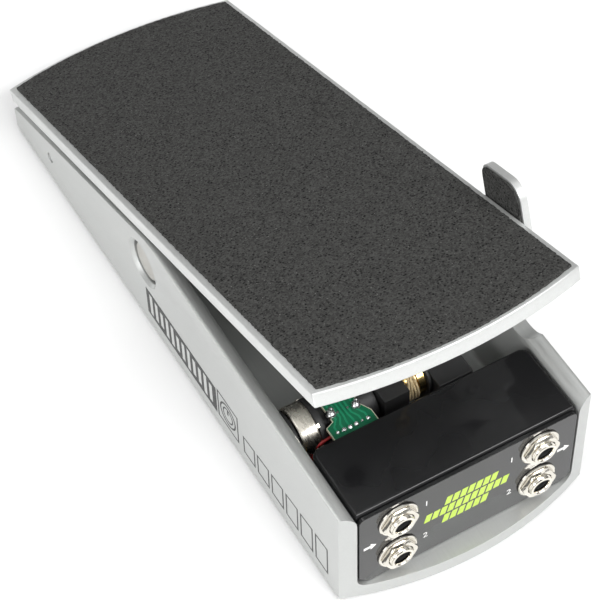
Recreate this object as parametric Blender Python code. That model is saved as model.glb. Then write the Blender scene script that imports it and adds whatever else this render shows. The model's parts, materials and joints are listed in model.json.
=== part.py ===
"""A foot-operated volume pedal: a channel chassis, a tilting treadle, four jacks and a cord-driven control.

Shapes are laid out in millimetres from the chassis: X runs across it, Y from its toe-end corners to the
heel, and Z up from its underside. ORIGIN then moves everything, so that the object's own origin is the centre
of the foot of its bounding box, and MM turns millimetres into metres. Treadle pieces are laid out in the
treadle's own axes (across, along from the toe edge to the heel, and up from its top face) and tilted into place.
"""

import math

import bmesh
import bpy
from mathutils import Matrix, Vector

MM = 0.001
GAP = 0.3  # clearance between pieces that rest on or sit in each other

# Chassis
WIDTH = 104.0
LENGTH = 269.4
WALL = 6.2
BASE = 6.4
FRONT_BOW = 10.0  # how far the toe end bulges past its corners
WALL_FRONT_Z = 51.2
WALL_RISE = math.tan(math.radians(1.3))
WALL_HEEL_Z = 10.36
WALL_FALL = 0.34
PEAK_RADIUS = 40.0
INNER_EDGE_RADIUS = 5.0
OUTER_EDGE_RADIUS = 0.6
BASE_FILLET = 3.5
INNER_HALF = WIDTH / 2 - WALL

# Treadle
TREADLE_WIDTH = 104.5
TREADLE_THICK = 6.0
TREADLE_LENGTH = 269.3
TREADLE_TILT = math.radians(18.54)
TREADLE_TOE = Vector((0.0, 15.51, 106.35))  # middle of the line between its top toe corners
TOE_BOW = 8.0
HEEL_BOW = 9.0
TAPE_THICK = 0.8

# Pivot, at the chassis
PIVOT = Vector((0.0, 147.2, 35.0))
AXLE_R = 8.2
AXLE_MIDDLE_R = 5.0
AXLE_SHOULDER_X = 43.0
AXLE_END_X = 49.3
BUSH_R = 9.2
BUSH_END_X = 49.7
WALL_BORE_R = 9.5
BORE_BEVEL = 1.4

# Side tab, which rides on the treadle's right edge
TAB_START = 36.2
TAB_END = 60.9
TAB_OUTER_X = 56.2
TAB_INNER_X = 53.4
TAB_TOP = 13.5
TAB_LEG_X = 30.0
TAB_LEG_THICK = 3.0
NOTCH_START = 38.0
NOTCH_END = 57.4
NOTCH_Z = 48.2
NOTCH_RADIUS = 10.0

# Jack panel and its cover
PANEL_Y = -2.3
PANEL_THICK = 1.6
PANEL_HALF = 45.0
PANEL_TOP = 47.7
PANEL_CORNER = 2.5
COVER_FRONT = -0.4
COVER_BACK = 31.6
COVER_HALF = 45.3
COVER_TOP = 48.6
COVER_SHEET = 1.2
COVER_CORNER = 4.0
COVER_BEND = 1.6
JACK_X = 29.4
JACK_ROWS = (38.2, 17.5)
JACK_BORE_R = 3.175
JACK_BUSH_R = 4.75
JACK_MOUTH = -6.3
JACK_BLOCK = (18.0, 14.0)
JACK_BACK = 28.3

# Control, whose shaft runs across the chassis
SHAFT = Vector((0.0, 51.3, 30.0))
SHAFT_R = 3.0
DRUM_R = 6.0
CORD_R = 0.7
CORD_WRAP_R = 7.0
CORD_PITCH = 2.6
CORD_X = 4.95
CORD_LEAN = math.radians(11)  # of the lift run, towards the heel as it climbs
WRAP_TURNS = 1.25
ANCHOR_DROP = 3.6
BRACKET_LEFT = -8.2
BRACKET_RIGHT = 2.3
BRACKET_TOP = 39.6
BRACKET_SHEET = 2.0
BOARD_TOP = 39.4
BOARD_THICK = 1.2
BEARING = ((14.3, 39.5), (28.9, 59.0), 35.2)  # near and far corners in plan, and the top

# Heel end
CROSS_PIN = Vector((0.0, 234.0, 12.7))
CROSS_PIN_R = 2.1
SPRING_R = 3.0
FERRULE_START = 43.0  # along the cord's return line from where it leaves the drum
FERRULE_LENGTH = 6.0

# Rubber feet
FOOT_HEIGHT = 2.5
FOOT_R = 8.0
FEET = ((-38.0, 24.0), (38.0, 24.0), (-38.0, 252.0), (38.0, 252.0))

# Screws driven up through the base: name, x, y and the height their tips reach
BASE_SCREWS = (
    ("panel_screw_left", -22.0, 6.0, 7.9),
    ("panel_screw_right", 22.0, 6.0, 7.9),
    ("cover_screw_left", -36.5, 7.5, 7.7),
    ("cover_screw_right", 36.5, 7.5, 7.7),
    ("bracket_screw_front", -3.0, 46.5, 8.4),
    ("bracket_screw_rear", -3.0, 58.0, 8.4),
    ("bearing_screw", 23.0, 51.3, 13.0),
)
SCREW_R = 1.6
SCREW_HOLE_R = 1.9
SCREW_HEAD_R = 3.0
SCREW_HEAD = 2.2
HEAD_POCKET_R = 3.4
HEAD_POCKET = 2.8

HEEL_APEX_Y = TREADLE_TOE.y + (TREADLE_LENGTH + HEEL_BOW) * math.cos(TREADLE_TILT)
ORIGIN = Vector(
    (
        (TAB_OUTER_X - TREADLE_WIDTH / 2) / 2,
        (HEEL_APEX_Y - FRONT_BOW) / 2,
        -FOOT_HEIGHT,
    )
)
TREADLE_FRAME = Matrix.Translation(TREADLE_TOE) @ Matrix.Rotation(-TREADLE_TILT, 4, "X")
PIVOT_IN_TREADLE = TREADLE_FRAME.inverted() @ PIVOT

# Frames that turn a loft's own axis, its third coordinate, along X, Y or Z
ALONG_X = Matrix(((0, 0, 1, 0), (1, 0, 0, 0), (0, 1, 0, 0), (0, 0, 0, 1)))
ALONG_Y = Matrix(((1, 0, 0, 0), (0, 0, 1, 0), (0, 1, 0, 0), (0, 0, 0, 1)))
ALONG_Z = Matrix.Identity(4)


def material(name, colour, roughness, metallic=0.0):
    """A Principled material of one colour."""
    made = bpy.data.materials.new(name)
    made.use_nodes = True
    shader = made.node_tree.nodes["Principled BSDF"]
    shader.inputs["Base Color"].default_value = (*colour, 1.0)
    shader.inputs["Roughness"].default_value = roughness
    shader.inputs["Metallic"].default_value = metallic
    return made


def clear_scene():
    for obj in list(bpy.data.objects):
        bpy.data.objects.remove(obj)


def add_object(name, shape, finish, origin=None):
    """Makes an object of a bmesh in chassis millimetres, with its own origin at `origin`."""
    origin = ORIGIN if origin is None else origin
    bmesh.ops.recalc_face_normals(shape, faces=shape.faces)
    bmesh.ops.translate(shape, vec=-origin, verts=shape.verts)
    bmesh.ops.scale(shape, vec=(MM, MM, MM), verts=shape.verts)
    mesh = bpy.data.meshes.new(name)
    shape.to_mesh(mesh)
    shape.free()
    mesh.shade_smooth()
    mesh.set_sharp_from_angle(angle=math.radians(35))
    obj = bpy.data.objects.new(name, mesh)
    obj.location = (origin - ORIGIN) * MM
    bpy.context.scene.collection.objects.link(obj)
    if finish:
        mesh.materials.append(finish)
    return obj


def boolean(obj, shape, operation="DIFFERENCE"):
    """Cuts, joins or trims an object with a shape, which stays as a hidden helper."""
    helper = add_object(f"{obj.name}_{operation.lower()}_{len(obj.modifiers)}", shape, None)
    helper.hide_render = True
    helper.display_type = "WIRE"
    modifier = obj.modifiers.new(helper.name, "BOOLEAN")
    modifier.operation = operation
    modifier.object = helper


def circle(radius, sides=24):
    """Points round a circle, as (u, v)."""
    angles = [2 * math.pi * i / sides for i in range(sides)]
    return [(radius * math.cos(a), radius * math.sin(a)) for a in angles]


def hexagon(across_flats, sides=24):
    """Points round a hexagon, its corners among them."""
    points = []
    for i in range(sides):
        angle = 2 * math.pi * i / sides
        off_flat = (angle + math.pi / 6) % (math.pi / 3) - math.pi / 6
        radius = across_flats / 2 / math.cos(math.pi / 6 - abs(off_flat))
        points.append((radius * math.cos(angle), radius * math.sin(angle)))
    return points


def rectangle(width, height, sides=24):
    """Points round a rectangle, its corners among them."""
    points = []
    for i in range(sides):
        angle = 2 * math.pi * i / sides
        across, up = math.cos(angle), math.sin(angle)
        longest = max(abs(across), abs(up))
        points.append((width / 2 * across / longest, height / 2 * up / longest))
    return points


def loft(rings, frame, closed=False):
    """Skins outlines, each (outline, place along the axis): capped, or joined end to end as a tube."""
    shape = bmesh.new()
    made = [[shape.verts.new(frame @ Vector((u, v, w))) for u, v in outline] for outline, w in rings]
    count = len(made[0])
    pairs = list(zip(made, made[1:]))
    if closed:
        pairs.append((made[-1], made[0]))
    for lower, upper in pairs:
        for i in range(count):
            j = (i + 1) % count
            shape.faces.new((lower[i], lower[j], upper[j], upper[i]))
    if not closed:
        shape.faces.new(made[0])
        shape.faces.new(made[-1])
    return shape


def turned(profile, frame, closed=False, sides=24):
    """A turned piece, from (radius, place along the axis) pairs."""
    return loft([(circle(radius, sides), w) for radius, w in profile], frame, closed)


def prism(outline, low, high, frame):
    """An outline of (u, v) points made thick from low to high along the frame's third axis."""
    return loft([(outline, low), (outline, high)], frame)


def box(low, high, frame=ALONG_Z):
    """A plain block between two corners."""
    outline = [(low[0], low[1]), (high[0], low[1]), (high[0], high[1]), (low[0], high[1])]
    return prism(outline, low[2], high[2], frame)


def arc(centre, radius, start, end, steps):
    """Points along an arc of (u, v), with its angles in degrees."""
    angles = [math.radians(start + (end - start) * i / steps) for i in range(steps + 1)]
    return [(centre[0] + radius * math.cos(a), centre[1] + radius * math.sin(a)) for a in angles]


def bow(across, half, depth):
    """How far a shallow arc of the given depth stands out at a place across it."""
    radius = (half * half + depth * depth) / (2 * depth)
    return math.sqrt(radius * radius - across * across) - (radius - depth)


def bowed_outline(half, toe, heel, toe_bow, heel_bow, steps=16):
    """A strip whose two ends bulge outwards, anticlockwise from its toe's left corner."""
    across = [half * (2 * i / steps - 1) for i in range(steps + 1)]
    toe_edge = [(x, toe - bow(x, half, toe_bow)) for x in across]
    heel_edge = [(x, heel + bow(x, half, heel_bow)) for x in reversed(across)]
    return toe_edge + heel_edge


def at(frame, x, y, z):
    """The same frame, moved."""
    return Matrix.Translation((x, y, z)) @ frame


def wall_top_profile(steps=8):
    """(y, z) along the walls' top edge: a slight rise, a round peak and the long fall to the heel."""
    heel_line_at_zero = WALL_HEEL_Z + WALL_FALL * LENGTH
    peak_y = (heel_line_at_zero - WALL_FRONT_Z) / (WALL_RISE + WALL_FALL)
    peak_z = WALL_FRONT_Z + WALL_RISE * peak_y
    rise, fall = math.atan(WALL_RISE), math.atan(WALL_FALL)
    tangent = PEAK_RADIUS * math.tan((rise + fall) / 2)
    start_y = peak_y - tangent * math.cos(rise)
    start_z = peak_z - tangent * math.sin(rise)
    centre_y = start_y + PEAK_RADIUS * math.sin(rise)
    centre_z = start_z - PEAK_RADIUS * math.cos(rise)
    front_y = -FRONT_BOW - 2
    points = [(front_y, WALL_FRONT_Z + WALL_RISE * front_y)]
    for i in range(steps + 1):
        slope = rise - (rise + fall) * i / steps
        points.append((centre_y - PEAK_RADIUS * math.sin(slope), centre_z + PEAK_RADIUS * math.cos(slope)))
    points.append((LENGTH, WALL_HEEL_Z))
    return points


def channel_section(height):
    """The chassis's cross-section, as (x, z): walls with a crisp outer edge and a round inner one."""
    edge = min(INNER_EDGE_RADIUS, (height - BASE) * 0.45)
    fillet = min(BASE_FILLET, (height - BASE) * 0.45)
    half = WIDTH / 2
    outer = arc((half - OUTER_EDGE_RADIUS, height - OUTER_EDGE_RADIUS), OUTER_EDGE_RADIUS, 0, 90, 2)
    inner = arc((INNER_HALF + edge, height - edge), edge, 90, 180, 5)
    foot = arc((INNER_HALF - fillet, BASE + fillet), fillet, 0, -90, 4)
    right = [(half, 0.0)] + outer + inner + foot
    return right + [(-x, z) for x, z in reversed(right)]


def screw_pockets():
    """The stepped holes for the screws under the base, as one cutter of separate bodies."""
    pockets = bmesh.new()
    profile = [(HEAD_POCKET_R, -1), (HEAD_POCKET_R, HEAD_POCKET), (SCREW_HOLE_R, HEAD_POCKET)]
    profile.append((SCREW_HOLE_R, BASE + 1))
    for _, x, y, _ in BASE_SCREWS:
        pocket = turned(profile, at(ALONG_Z, x, y, 0), sides=16)
        mesh = bpy.data.meshes.new("pocket")
        pocket.to_mesh(mesh)
        pocket.free()
        pockets.from_mesh(mesh)
        bpy.data.meshes.remove(mesh)
    return pockets


def make_chassis(finish):
    stations = wall_top_profile()
    rings = [(channel_section(z), y) for y, z in stations]
    chassis = add_object("chassis", loft(rings, ALONG_Y), finish)
    half = WIDTH / 2
    front = [(x, -bow(x, half, FRONT_BOW)) for x in (half * (i / 12 - 1) for i in range(25))]
    wide, beyond = half + 2, LENGTH + 30
    plan = [(-wide, 1)] + front + [(wide, 1), (wide, beyond), (-wide, beyond)]
    boolean(chassis, prism(plan, -5, 70, ALONG_Z), "INTERSECT")

    high = NOTCH_Z + NOTCH_RADIUS
    notch = arc((NOTCH_START, high), NOTCH_RADIUS, 180, 270, 8)
    notch += arc((NOTCH_END, high), NOTCH_RADIUS, 270, 360, 8)
    boolean(chassis, prism(notch, INNER_HALF - 4, half + 4, ALONG_X))

    mouth = WALL_BORE_R + BORE_BEVEL + 0.5
    for side in (-1, 1):
        rim = [(WALL_BORE_R, 30), (WALL_BORE_R, half - BORE_BEVEL), (mouth, half + 0.5), (mouth, half + 5)]
        profile = [(radius, side * x) for radius, x in rim]
        boolean(chassis, turned(profile, at(ALONG_X, 0, PIVOT.y, PIVOT.z), sides=32))
    pin_hole = [(CROSS_PIN_R + GAP, -70), (CROSS_PIN_R + GAP, 70)]
    boolean(chassis, turned(pin_hole, at(ALONG_X, 0, CROSS_PIN.y, CROSS_PIN.z), sides=16))
    boolean(chassis, screw_pockets())


def make_base_screws(finish):
    seat = GAP + SCREW_HEAD
    for name, x, y, tip in BASE_SCREWS:
        profile = [(SCREW_HEAD_R, GAP), (SCREW_HEAD_R, seat), (SCREW_R, seat), (SCREW_R, tip)]
        add_object(name, turned(profile, at(ALONG_Z, x, y, 0), sides=16), finish)


def make_feet(finish):
    for number, (x, y) in enumerate(FEET, 1):
        profile = [(FOOT_R - 0.8, -FOOT_HEIGHT), (FOOT_R, -FOOT_HEIGHT + 0.8), (FOOT_R, -GAP)]
        add_object(f"rubber_foot_{number}", turned(profile, at(ALONG_Z, x, y, 0)), finish)


def treadle_holes():
    """Where screws enter the treadle from below, as (x, along)."""
    tab = [(38.0, TAB_START + 6), (38.0, TAB_END - 6)]
    hangers = [(side * 28.0, PIVOT_IN_TREADLE.y + step) for side in (-1, 1) for step in (-9.0, 9.0)]
    return tab, hangers, (CORD_X, cord_anchor_along())


def lift_line():
    """Where the cord leaves the drum's toe side, and its direction up to the treadle."""
    out = Vector((0, -math.cos(CORD_LEAN), math.sin(CORD_LEAN)))
    direction = Vector((0, math.sin(CORD_LEAN), math.cos(CORD_LEAN)))
    return Vector((CORD_X, SHAFT.y, SHAFT.z)) + CORD_WRAP_R * out, direction


def lift_reach():
    """The length of the cord's lift run, from the drum to the anchor's lower face."""
    start, direction = lift_line()
    into = TREADLE_FRAME.inverted()
    anchor_face = -TREADLE_THICK - GAP - ANCHOR_DROP
    return (anchor_face - (into @ start).z) / (into.to_3x3() @ direction).z


def cord_anchor_along():
    """How far along the treadle the cord's lift run meets its anchor."""
    start, direction = lift_line()
    return (TREADLE_FRAME.inverted() @ (start + direction * lift_reach())).y


def make_treadle(paint, tape):
    half = TREADLE_WIDTH / 2
    outline = bowed_outline(half, 0, TREADLE_LENGTH, TOE_BOW, HEEL_BOW)
    treadle = add_object("treadle_plate", prism(outline, -TREADLE_THICK, 0, TREADLE_FRAME), paint, PIVOT)
    bevel = treadle.modifiers.new("edge_bevel", "BEVEL")
    bevel.width = 0.5 * MM
    bevel.segments = 2
    bevel.angle_limit = math.radians(40)
    tab, hangers, anchor = treadle_holes()
    for x, along in tab + hangers + [anchor]:
        hole = [(2.3, -TREADLE_THICK - 2), (2.3, -2.0)]
        boolean(treadle, turned(hole, TREADLE_FRAME @ at(ALONG_Z, x, along, 0), sides=12))

    grip = bowed_outline(50.0, 1.4, 266.5, 8.0, 8.9)
    low = GAP
    add_object("treadle_grip_tape", prism(grip, low, low + TAPE_THICK, TREADLE_FRAME), tape, PIVOT)


def make_side_tab(paint, tape, steel):
    """An L-shaped bracket: its leg is screwed under the treadle and its ear stands above the edge."""
    foot = -TREADLE_THICK - GAP
    sole = foot - TAB_LEG_THICK
    ear = [(TAB_START, sole - 0.4), (TAB_END, sole - 0.4)]
    ear += arc((TAB_END - 5, TAB_TOP - 5), 5, 0, 90, 6)
    ear += arc((TAB_START + 7.5, TAB_TOP - 7.5), 7.5, 90, 180, 8)
    tab = add_object("side_tab", prism(ear, TAB_INNER_X, TAB_OUTER_X, TREADLE_FRAME @ ALONG_X), paint, PIVOT)
    leg = box((TAB_LEG_X, TAB_START + 0.5, sole), (TAB_INNER_X + 1, TAB_END - 0.5, foot), TREADLE_FRAME)
    boolean(tab, leg, "UNION")
    holes, _, _ = treadle_holes()
    for number, (x, along) in enumerate(holes, 1):
        frame = TREADLE_FRAME @ at(ALONG_Z, x, along, 0)
        boolean(tab, turned([(2.3, sole - 2), (2.3, foot + 2)], frame, sides=12))
        head = sole - GAP
        profile = [(3.2, head - 1.6), (3.2, head), (2.0, head), (2.0, -2.6)]
        add_object(f"side_tab_screw_{number}", turned(profile, frame, sides=16), steel, PIVOT)

    margin, pad_foot = 0.8, -1.5
    pad = [(TAB_START + margin, pad_foot), (TAB_END - margin, pad_foot)]
    pad += arc((TAB_END - 5, TAB_TOP - 5), 5 - margin, 0, 90, 6)
    pad += arc((TAB_START + 7.5, TAB_TOP - 7.5), 7.5 - margin, 90, 180, 8)
    face = TAB_INNER_X - GAP
    add_object("side_tab_grip_tape", prism(pad, face - 0.6, face, TREADLE_FRAME @ ALONG_X), tape, PIVOT)


def make_pivot(aluminium, bronze, steel):
    """The axle, fixed to two hangers under the treadle, turns in a bush in each wall."""
    step = AXLE_SHOULDER_X
    middle, end = AXLE_MIDDLE_R, AXLE_R
    profile = [(end - 0.5, -AXLE_END_X), (end, 0.5 - AXLE_END_X), (end, -step), (middle, -step)]
    profile += [(middle, step), (end, step), (end, AXLE_END_X - 0.5), (end - 0.5, AXLE_END_X)]
    axis = at(ALONG_X, 0, PIVOT.y, PIVOT.z)
    add_object("pivot_axle", turned(profile, axis, sides=32), aluminium, PIVOT)

    top = -TREADLE_THICK - GAP
    along, down = PIVOT_IN_TREADLE.y, PIVOT_IN_TREADLE.z
    for side, name in ((-1, "left"), (1, "right")):
        inner, outer = side * (INNER_HALF - 0.2), side * BUSH_END_X
        bush = [(AXLE_R + GAP, inner), (BUSH_R, inner), (BUSH_R, outer), (AXLE_R + GAP, outer)]
        add_object(f"axle_bush_{name}", turned(bush, axis, closed=True, sides=32), bronze, PIVOT)

        web = [(along - 12, top - 1), (along - 12, top - 5)] + arc((along, down), 9, 180, 360, 12)
        web += [(along + 12, top - 5), (along + 12, top - 1)]
        near, far = sorted((side * 34.0, side * 38.0))
        shape = prism(web, near, far, TREADLE_FRAME @ ALONG_X)
        hanger = add_object(f"axle_hanger_{name}", shape, aluminium, PIVOT)
        low, high = sorted((side * 22.0, side * 38.6))
        flange = box((low, along - 13.5, top - 3.5), (high, along + 13.5, top), TREADLE_FRAME)
        boolean(hanger, flange, "UNION")
        bore = [(AXLE_MIDDLE_R + GAP, -50), (AXLE_MIDDLE_R + GAP, 50)]
        boolean(hanger, turned(bore, axis, sides=32))
        for number, step_along in enumerate((-9.0, 9.0), 1):
            frame = TREADLE_FRAME @ at(ALONG_Z, side * 28.0, along + step_along, 0)
            boolean(hanger, turned([(2.3, top - 8), (2.3, top + 2)], frame, sides=12))
            head = top - 3.5 - GAP
            profile = [(3.6, head - 2.2), (3.6, head), (2.0, head), (2.0, -2.6)]
            add_object(f"hanger_screw_{name}_{number}", turned(profile, frame, sides=16), steel, PIVOT)


def make_jack_panel(finish):
    half, radius = PANEL_HALF, PANEL_CORNER
    bottom = BASE + GAP
    clear = BASE_FILLET + GAP
    outline = [(clear - half, bottom), (half - clear, bottom), (half, bottom + clear)]
    outline += arc((half - radius, PANEL_TOP - radius), radius, 0, 90, 5)
    outline += arc((radius - half, PANEL_TOP - radius), radius, 90, 180, 5)
    outline.append((-half, bottom + clear))
    panel = add_object("jack_panel", prism(outline, PANEL_Y, PANEL_Y + PANEL_THICK, ALONG_Y), finish)
    boolean(panel, box((-30, PANEL_Y + 0.5, bottom), (30, 11, bottom + 1.4)), "UNION")
    for x in (-JACK_X, JACK_X):
        for z in JACK_ROWS:
            hole = [(JACK_BUSH_R + GAP, PANEL_Y - 3), (JACK_BUSH_R + GAP, PANEL_Y + 4)]
            boolean(panel, turned(hole, at(ALONG_Y, x, 0, z)))
    for _, x, y, _ in BASE_SCREWS[:2]:
        boolean(panel, turned([(SCREW_HOLE_R, 3), (SCREW_HOLE_R, 12)], at(ALONG_Z, x, y, 0), sides=16))


def cover_plan(inset):
    """The cover's outline from above, (x, y), with its two back corners rounded."""
    half, radius = COVER_HALF - inset, COVER_CORNER - inset
    front, back = COVER_FRONT + inset, COVER_BACK - inset
    outline = [(-half, front), (half, front)]
    outline += arc((half - radius, back - radius), radius, 0, 90, 5)
    outline += arc((radius - half, back - radius), radius, 90, 180, 5)
    return outline


def cover_foot(side):
    """A joggled strip, (x, z), that steps in over the chassis's inner fillet to stand on the base."""
    sheet, low = COVER_SHEET, BASE + GAP
    step = BASE + BASE_FILLET + 3 * GAP
    outer, inner = COVER_HALF - 0.4, INNER_HALF - BASE_FILLET - 1.0
    foot = [(outer, step), (outer, step + sheet), (inner - sheet, step + sheet), (inner - sheet, low + sheet)]
    foot += [(33.0, low + sheet), (33.0, low), (inner, low), (inner, step)]
    return [(side * x, z) for x, z in foot]


def make_cover(finish):
    """Bent sheet over the jacks: a top, short front and back lips, and sides whose feet stand on the base."""
    bottom = BASE + BASE_FILLET + 2 * GAP
    rings = [(cover_plan(0), bottom)]
    for inset, height in arc((COVER_BEND, 0), COVER_BEND, 180, 90, 4):
        rings.append((cover_plan(inset), COVER_TOP - COVER_BEND + height))
    cover = add_object("jack_cover", loft(rings, ALONG_Z), finish)
    boolean(cover, prism(cover_plan(COVER_SHEET), 2, COVER_TOP - COVER_SHEET, ALONG_Z))
    boolean(cover, box((-60, -5, 2), (60, COVER_FRONT + 2.0, 46.2)))
    boolean(cover, box((-COVER_HALF + 5, 25, 2), (COVER_HALF - 5, 40, 42)))
    for side in (-1, 1):
        boolean(cover, prism(cover_foot(side), 2.5, 12.5, ALONG_Y), "UNION")
    for _, x, y, _ in BASE_SCREWS[2:4]:
        boolean(cover, turned([(SCREW_HOLE_R, 3), (SCREW_HOLE_R, 12)], at(ALONG_Z, x, y, 0), sides=16))


def make_jacks(plastic, nickel):
    block_front = PANEL_Y + PANEL_THICK + GAP
    washer = PANEL_Y - GAP
    for column, x in (("left", -JACK_X), ("right", JACK_X)):
        for row, z in zip(("upper", "lower"), JACK_ROWS):
            frame = at(ALONG_Y, x, 0, z)
            rings = [(circle(JACK_BORE_R), JACK_BACK - 2), (circle(JACK_BORE_R), JACK_MOUTH + 0.4)]
            rings += [(circle(JACK_BORE_R + 0.35), JACK_MOUTH), (circle(JACK_BUSH_R - 0.3), JACK_MOUTH)]
            rings += [(circle(JACK_BUSH_R), JACK_MOUTH + 0.3), (circle(JACK_BUSH_R), block_front)]
            rings += [(rectangle(*JACK_BLOCK), block_front), (rectangle(*JACK_BLOCK), JACK_BACK)]
            add_object(f"jack_body_{column}_{row}", loft(rings, frame), plastic)

            bore, flange, flats = circle(JACK_BUSH_R + GAP), circle(8.0), hexagon(12.7)
            rings = [(bore, washer), (flange, washer), (flange, washer - 1.0), (flats, washer - 1.0)]
            rings += [(flats, washer - 3.0), (circle(5.9), washer - 3.4), (bore, washer - 3.4)]
            add_object(f"jack_nut_{column}_{row}", loft(rings, frame, closed=True), nickel)


def make_control(nickel, black, board, steel):
    """The rotary control lies across the chassis, held by its bush in the bracket's wall."""
    frame = at(ALONG_X, 0, SHAFT.y, SHAFT.z)
    rear = [(9.5, -45.0), (10.5, -44.0), (10.5, -41.8)]
    add_object("control_rear_cap", turned(rear, frame), black)
    can = [(10.2, -41.5), (11.0, -40.7), (11.0, -34.2)]
    add_object("control_can", turned(can, frame), nickel)
    bore = SHAFT_R + GAP
    wall = BRACKET_LEFT - GAP
    gang = [(bore, -22.0), (bore, -4.0), (4.75, -4.0), (4.75, wall), (8.0, wall), (8.0, -31.0), (11.0, -31.0)]
    gang.append((11.0, -33.9))
    add_object("control_front_body", turned(gang, frame), black)

    outline = [(-32.0, 33.6), (-30.2, 30.2), (-13.7, 30.2), (-13.7, 41.3), (-15.1, 43.9), (-16.0, 45.5)]
    outline += [(-16.0, 60.5), (-28.6, 60.5), (-28.6, 43.6), (-32.0, 42.2)]
    add_object("control_board", prism(outline, BOARD_TOP - BOARD_THICK, BOARD_TOP, ALONG_Z), board)

    front, sheet, low = 41.0, BRACKET_SHEET, BASE + GAP
    whole = box((BRACKET_LEFT, front, low), (BRACKET_RIGHT, 61.6, BRACKET_TOP))
    bracket = add_object("control_bracket", whole, black)
    inner_left, inner_right = BRACKET_LEFT + sheet, BRACKET_RIGHT - sheet
    boolean(bracket, box((inner_left, front + sheet, low + sheet), (inner_right, 70.0, BRACKET_TOP - sheet)))
    boolean(bracket, turned([(5.05, wall - 2), (5.05, inner_left + 1)], frame))
    boolean(bracket, turned([(bore + GAP, inner_right - 1), (bore + GAP, BRACKET_RIGHT + 4)], frame))
    for _, x, y, _ in BASE_SCREWS[4:6]:
        boolean(bracket, turned([(SCREW_HOLE_R, 3), (SCREW_HOLE_R, 12)], at(ALONG_Z, x, y, 0), sides=16))
    hole = circle(5.05)
    near, far = inner_left + GAP, inner_left + GAP + 1.8
    nut = [(hole, near), (hexagon(12.5), near), (hexagon(12.5), far), (hole, far)]
    add_object("control_nut", loft(nut, frame, closed=True), steel)

    near, far, top = BEARING
    block = add_object("shaft_bearing_block", box((*near, low), (*far, top)), black)
    boolean(block, turned([(bore, near[0] - 5), (bore, far[0] - 1.5)], frame))
    _, x, y, tip = BASE_SCREWS[6]
    boolean(block, turned([(SCREW_HOLE_R, 3), (SCREW_HOLE_R, tip + 0.6)], at(ALONG_Z, x, y, 0), sides=16))


def make_drum(steel, brass, black):
    """What turns with the control's shaft: the shaft, the drum that the cord winds on, and a collar."""
    frame = at(ALONG_X, 0, SHAFT.y, SHAFT.z)
    shaft = [(SHAFT_R, -21.6), (SHAFT_R, BEARING[1][0] - 1.5 - GAP)]
    add_object("control_shaft", turned(shaft, frame), steel, SHAFT)
    bore = SHAFT_R + GAP
    hub = 6.8
    drum = [(bore, 2.8), (hub, 2.8), (hub, 3.2), (DRUM_R, 3.2), (DRUM_R, 9.2), (hub, 9.2), (hub, 12.2)]
    drum.append((bore, 12.2))
    add_object("cord_drum", turned(drum, frame, closed=True), brass, SHAFT)
    collar = [(bore, 12.5), (7.4, 12.5), (7.7, 12.8), (7.7, 14.0), (bore, 14.0)]
    add_object("shaft_collar", turned(collar, frame, closed=True), black, SHAFT)


def return_fall():
    """The slope of the cord's return run, which drops from the drum's underside to the cross pin."""
    return math.atan2(SHAFT.z - CORD_WRAP_R - CROSS_PIN.z, CROSS_PIN.y - SHAFT.y)


def return_line():
    """Where the cord leaves the drum's underside, and its direction to the cross pin."""
    fall = return_fall()
    direction = Vector((0, math.cos(fall), -math.sin(fall)))
    across = CORD_X + WRAP_TURNS * CORD_PITCH
    start = Vector((across, SHAFT.y, SHAFT.z)) + CORD_WRAP_R * Vector((0, -math.sin(fall), -math.cos(fall)))
    return start, direction


def line_frame(start, direction):
    """A frame at start whose third axis runs along direction, which has no sideways part."""
    return Matrix.Translation(start) @ Matrix.Rotation(-math.atan2(direction.y, direction.z), 4, "X")


def make_wrap(fibre):
    """The cord's turns on the drum: down its toe side, round, and off under it towards the heel."""
    steps, sides = 30, 8
    across = Vector((1, 0, 0))
    rings = []
    for i in range(steps + 1):
        turn = (WRAP_TURNS + (CORD_LEAN - return_fall()) / (2 * math.pi)) * i / steps
        angle = math.pi - CORD_LEAN + 2 * math.pi * turn
        out = Vector((0, math.cos(angle), math.sin(angle)))
        centre = Vector((CORD_X + CORD_PITCH * turn, SHAFT.y, SHAFT.z)) + CORD_WRAP_R * out
        rings.append([centre + across * CORD_R * v + out * CORD_R * u for u, v in circle(1, sides)])
    shape = bmesh.new()
    made = [[shape.verts.new(point) for point in ring] for ring in rings]
    for lower, upper in zip(made, made[1:]):
        for i in range(sides):
            j = (i + 1) % sides
            shape.faces.new((lower[i], lower[j], upper[j], upper[i]))
    shape.faces.new(made[0])
    shape.faces.new(made[-1])
    add_object("drive_cord_wrap", shape, fibre, SHAFT)


def make_drive(fibre, brass, steel):
    """The cord from the treadle round the drum, and the tension spring that keeps it taut."""
    _, _, (x, along) = treadle_holes()
    top = -TREADLE_THICK - GAP
    anchor = [(3.0, top - ANCHOR_DROP), (3.0, top), (2.0, top), (2.0, -2.6)]
    frame = TREADLE_FRAME @ at(ALONG_Z, x, along, 0)
    add_object("cord_anchor", turned(anchor, frame, sides=16), brass, PIVOT)
    lift = [(CORD_R, GAP), (CORD_R, lift_reach() - 2 * GAP)]
    add_object("drive_cord_lift", turned(lift, line_frame(*lift_line()), sides=8), fibre, PIVOT)
    make_wrap(fibre)

    start, direction = return_line()
    frame = line_frame(start, direction)
    run = [(CORD_R, GAP), (CORD_R, FERRULE_START - GAP)]
    add_object("drive_cord_return", turned(run, frame, sides=8), fibre)
    end = FERRULE_START + FERRULE_LENGTH
    ferrule = [(1.3, FERRULE_START), (1.7, FERRULE_START + 0.4), (1.7, end - 0.4), (1.3, end)]
    place = start + direction * FERRULE_START
    add_object("cord_ferrule", turned(ferrule, frame, sides=12), brass, place)
    reach = (CROSS_PIN - start).dot(direction) - CROSS_PIN_R - GAP
    spring = [(1.5, end + GAP), (SPRING_R, end + 4.0), (SPRING_R, reach - 4.0), (1.5, reach)]
    add_object("tension_spring", turned(spring, frame, sides=12), steel)


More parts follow.
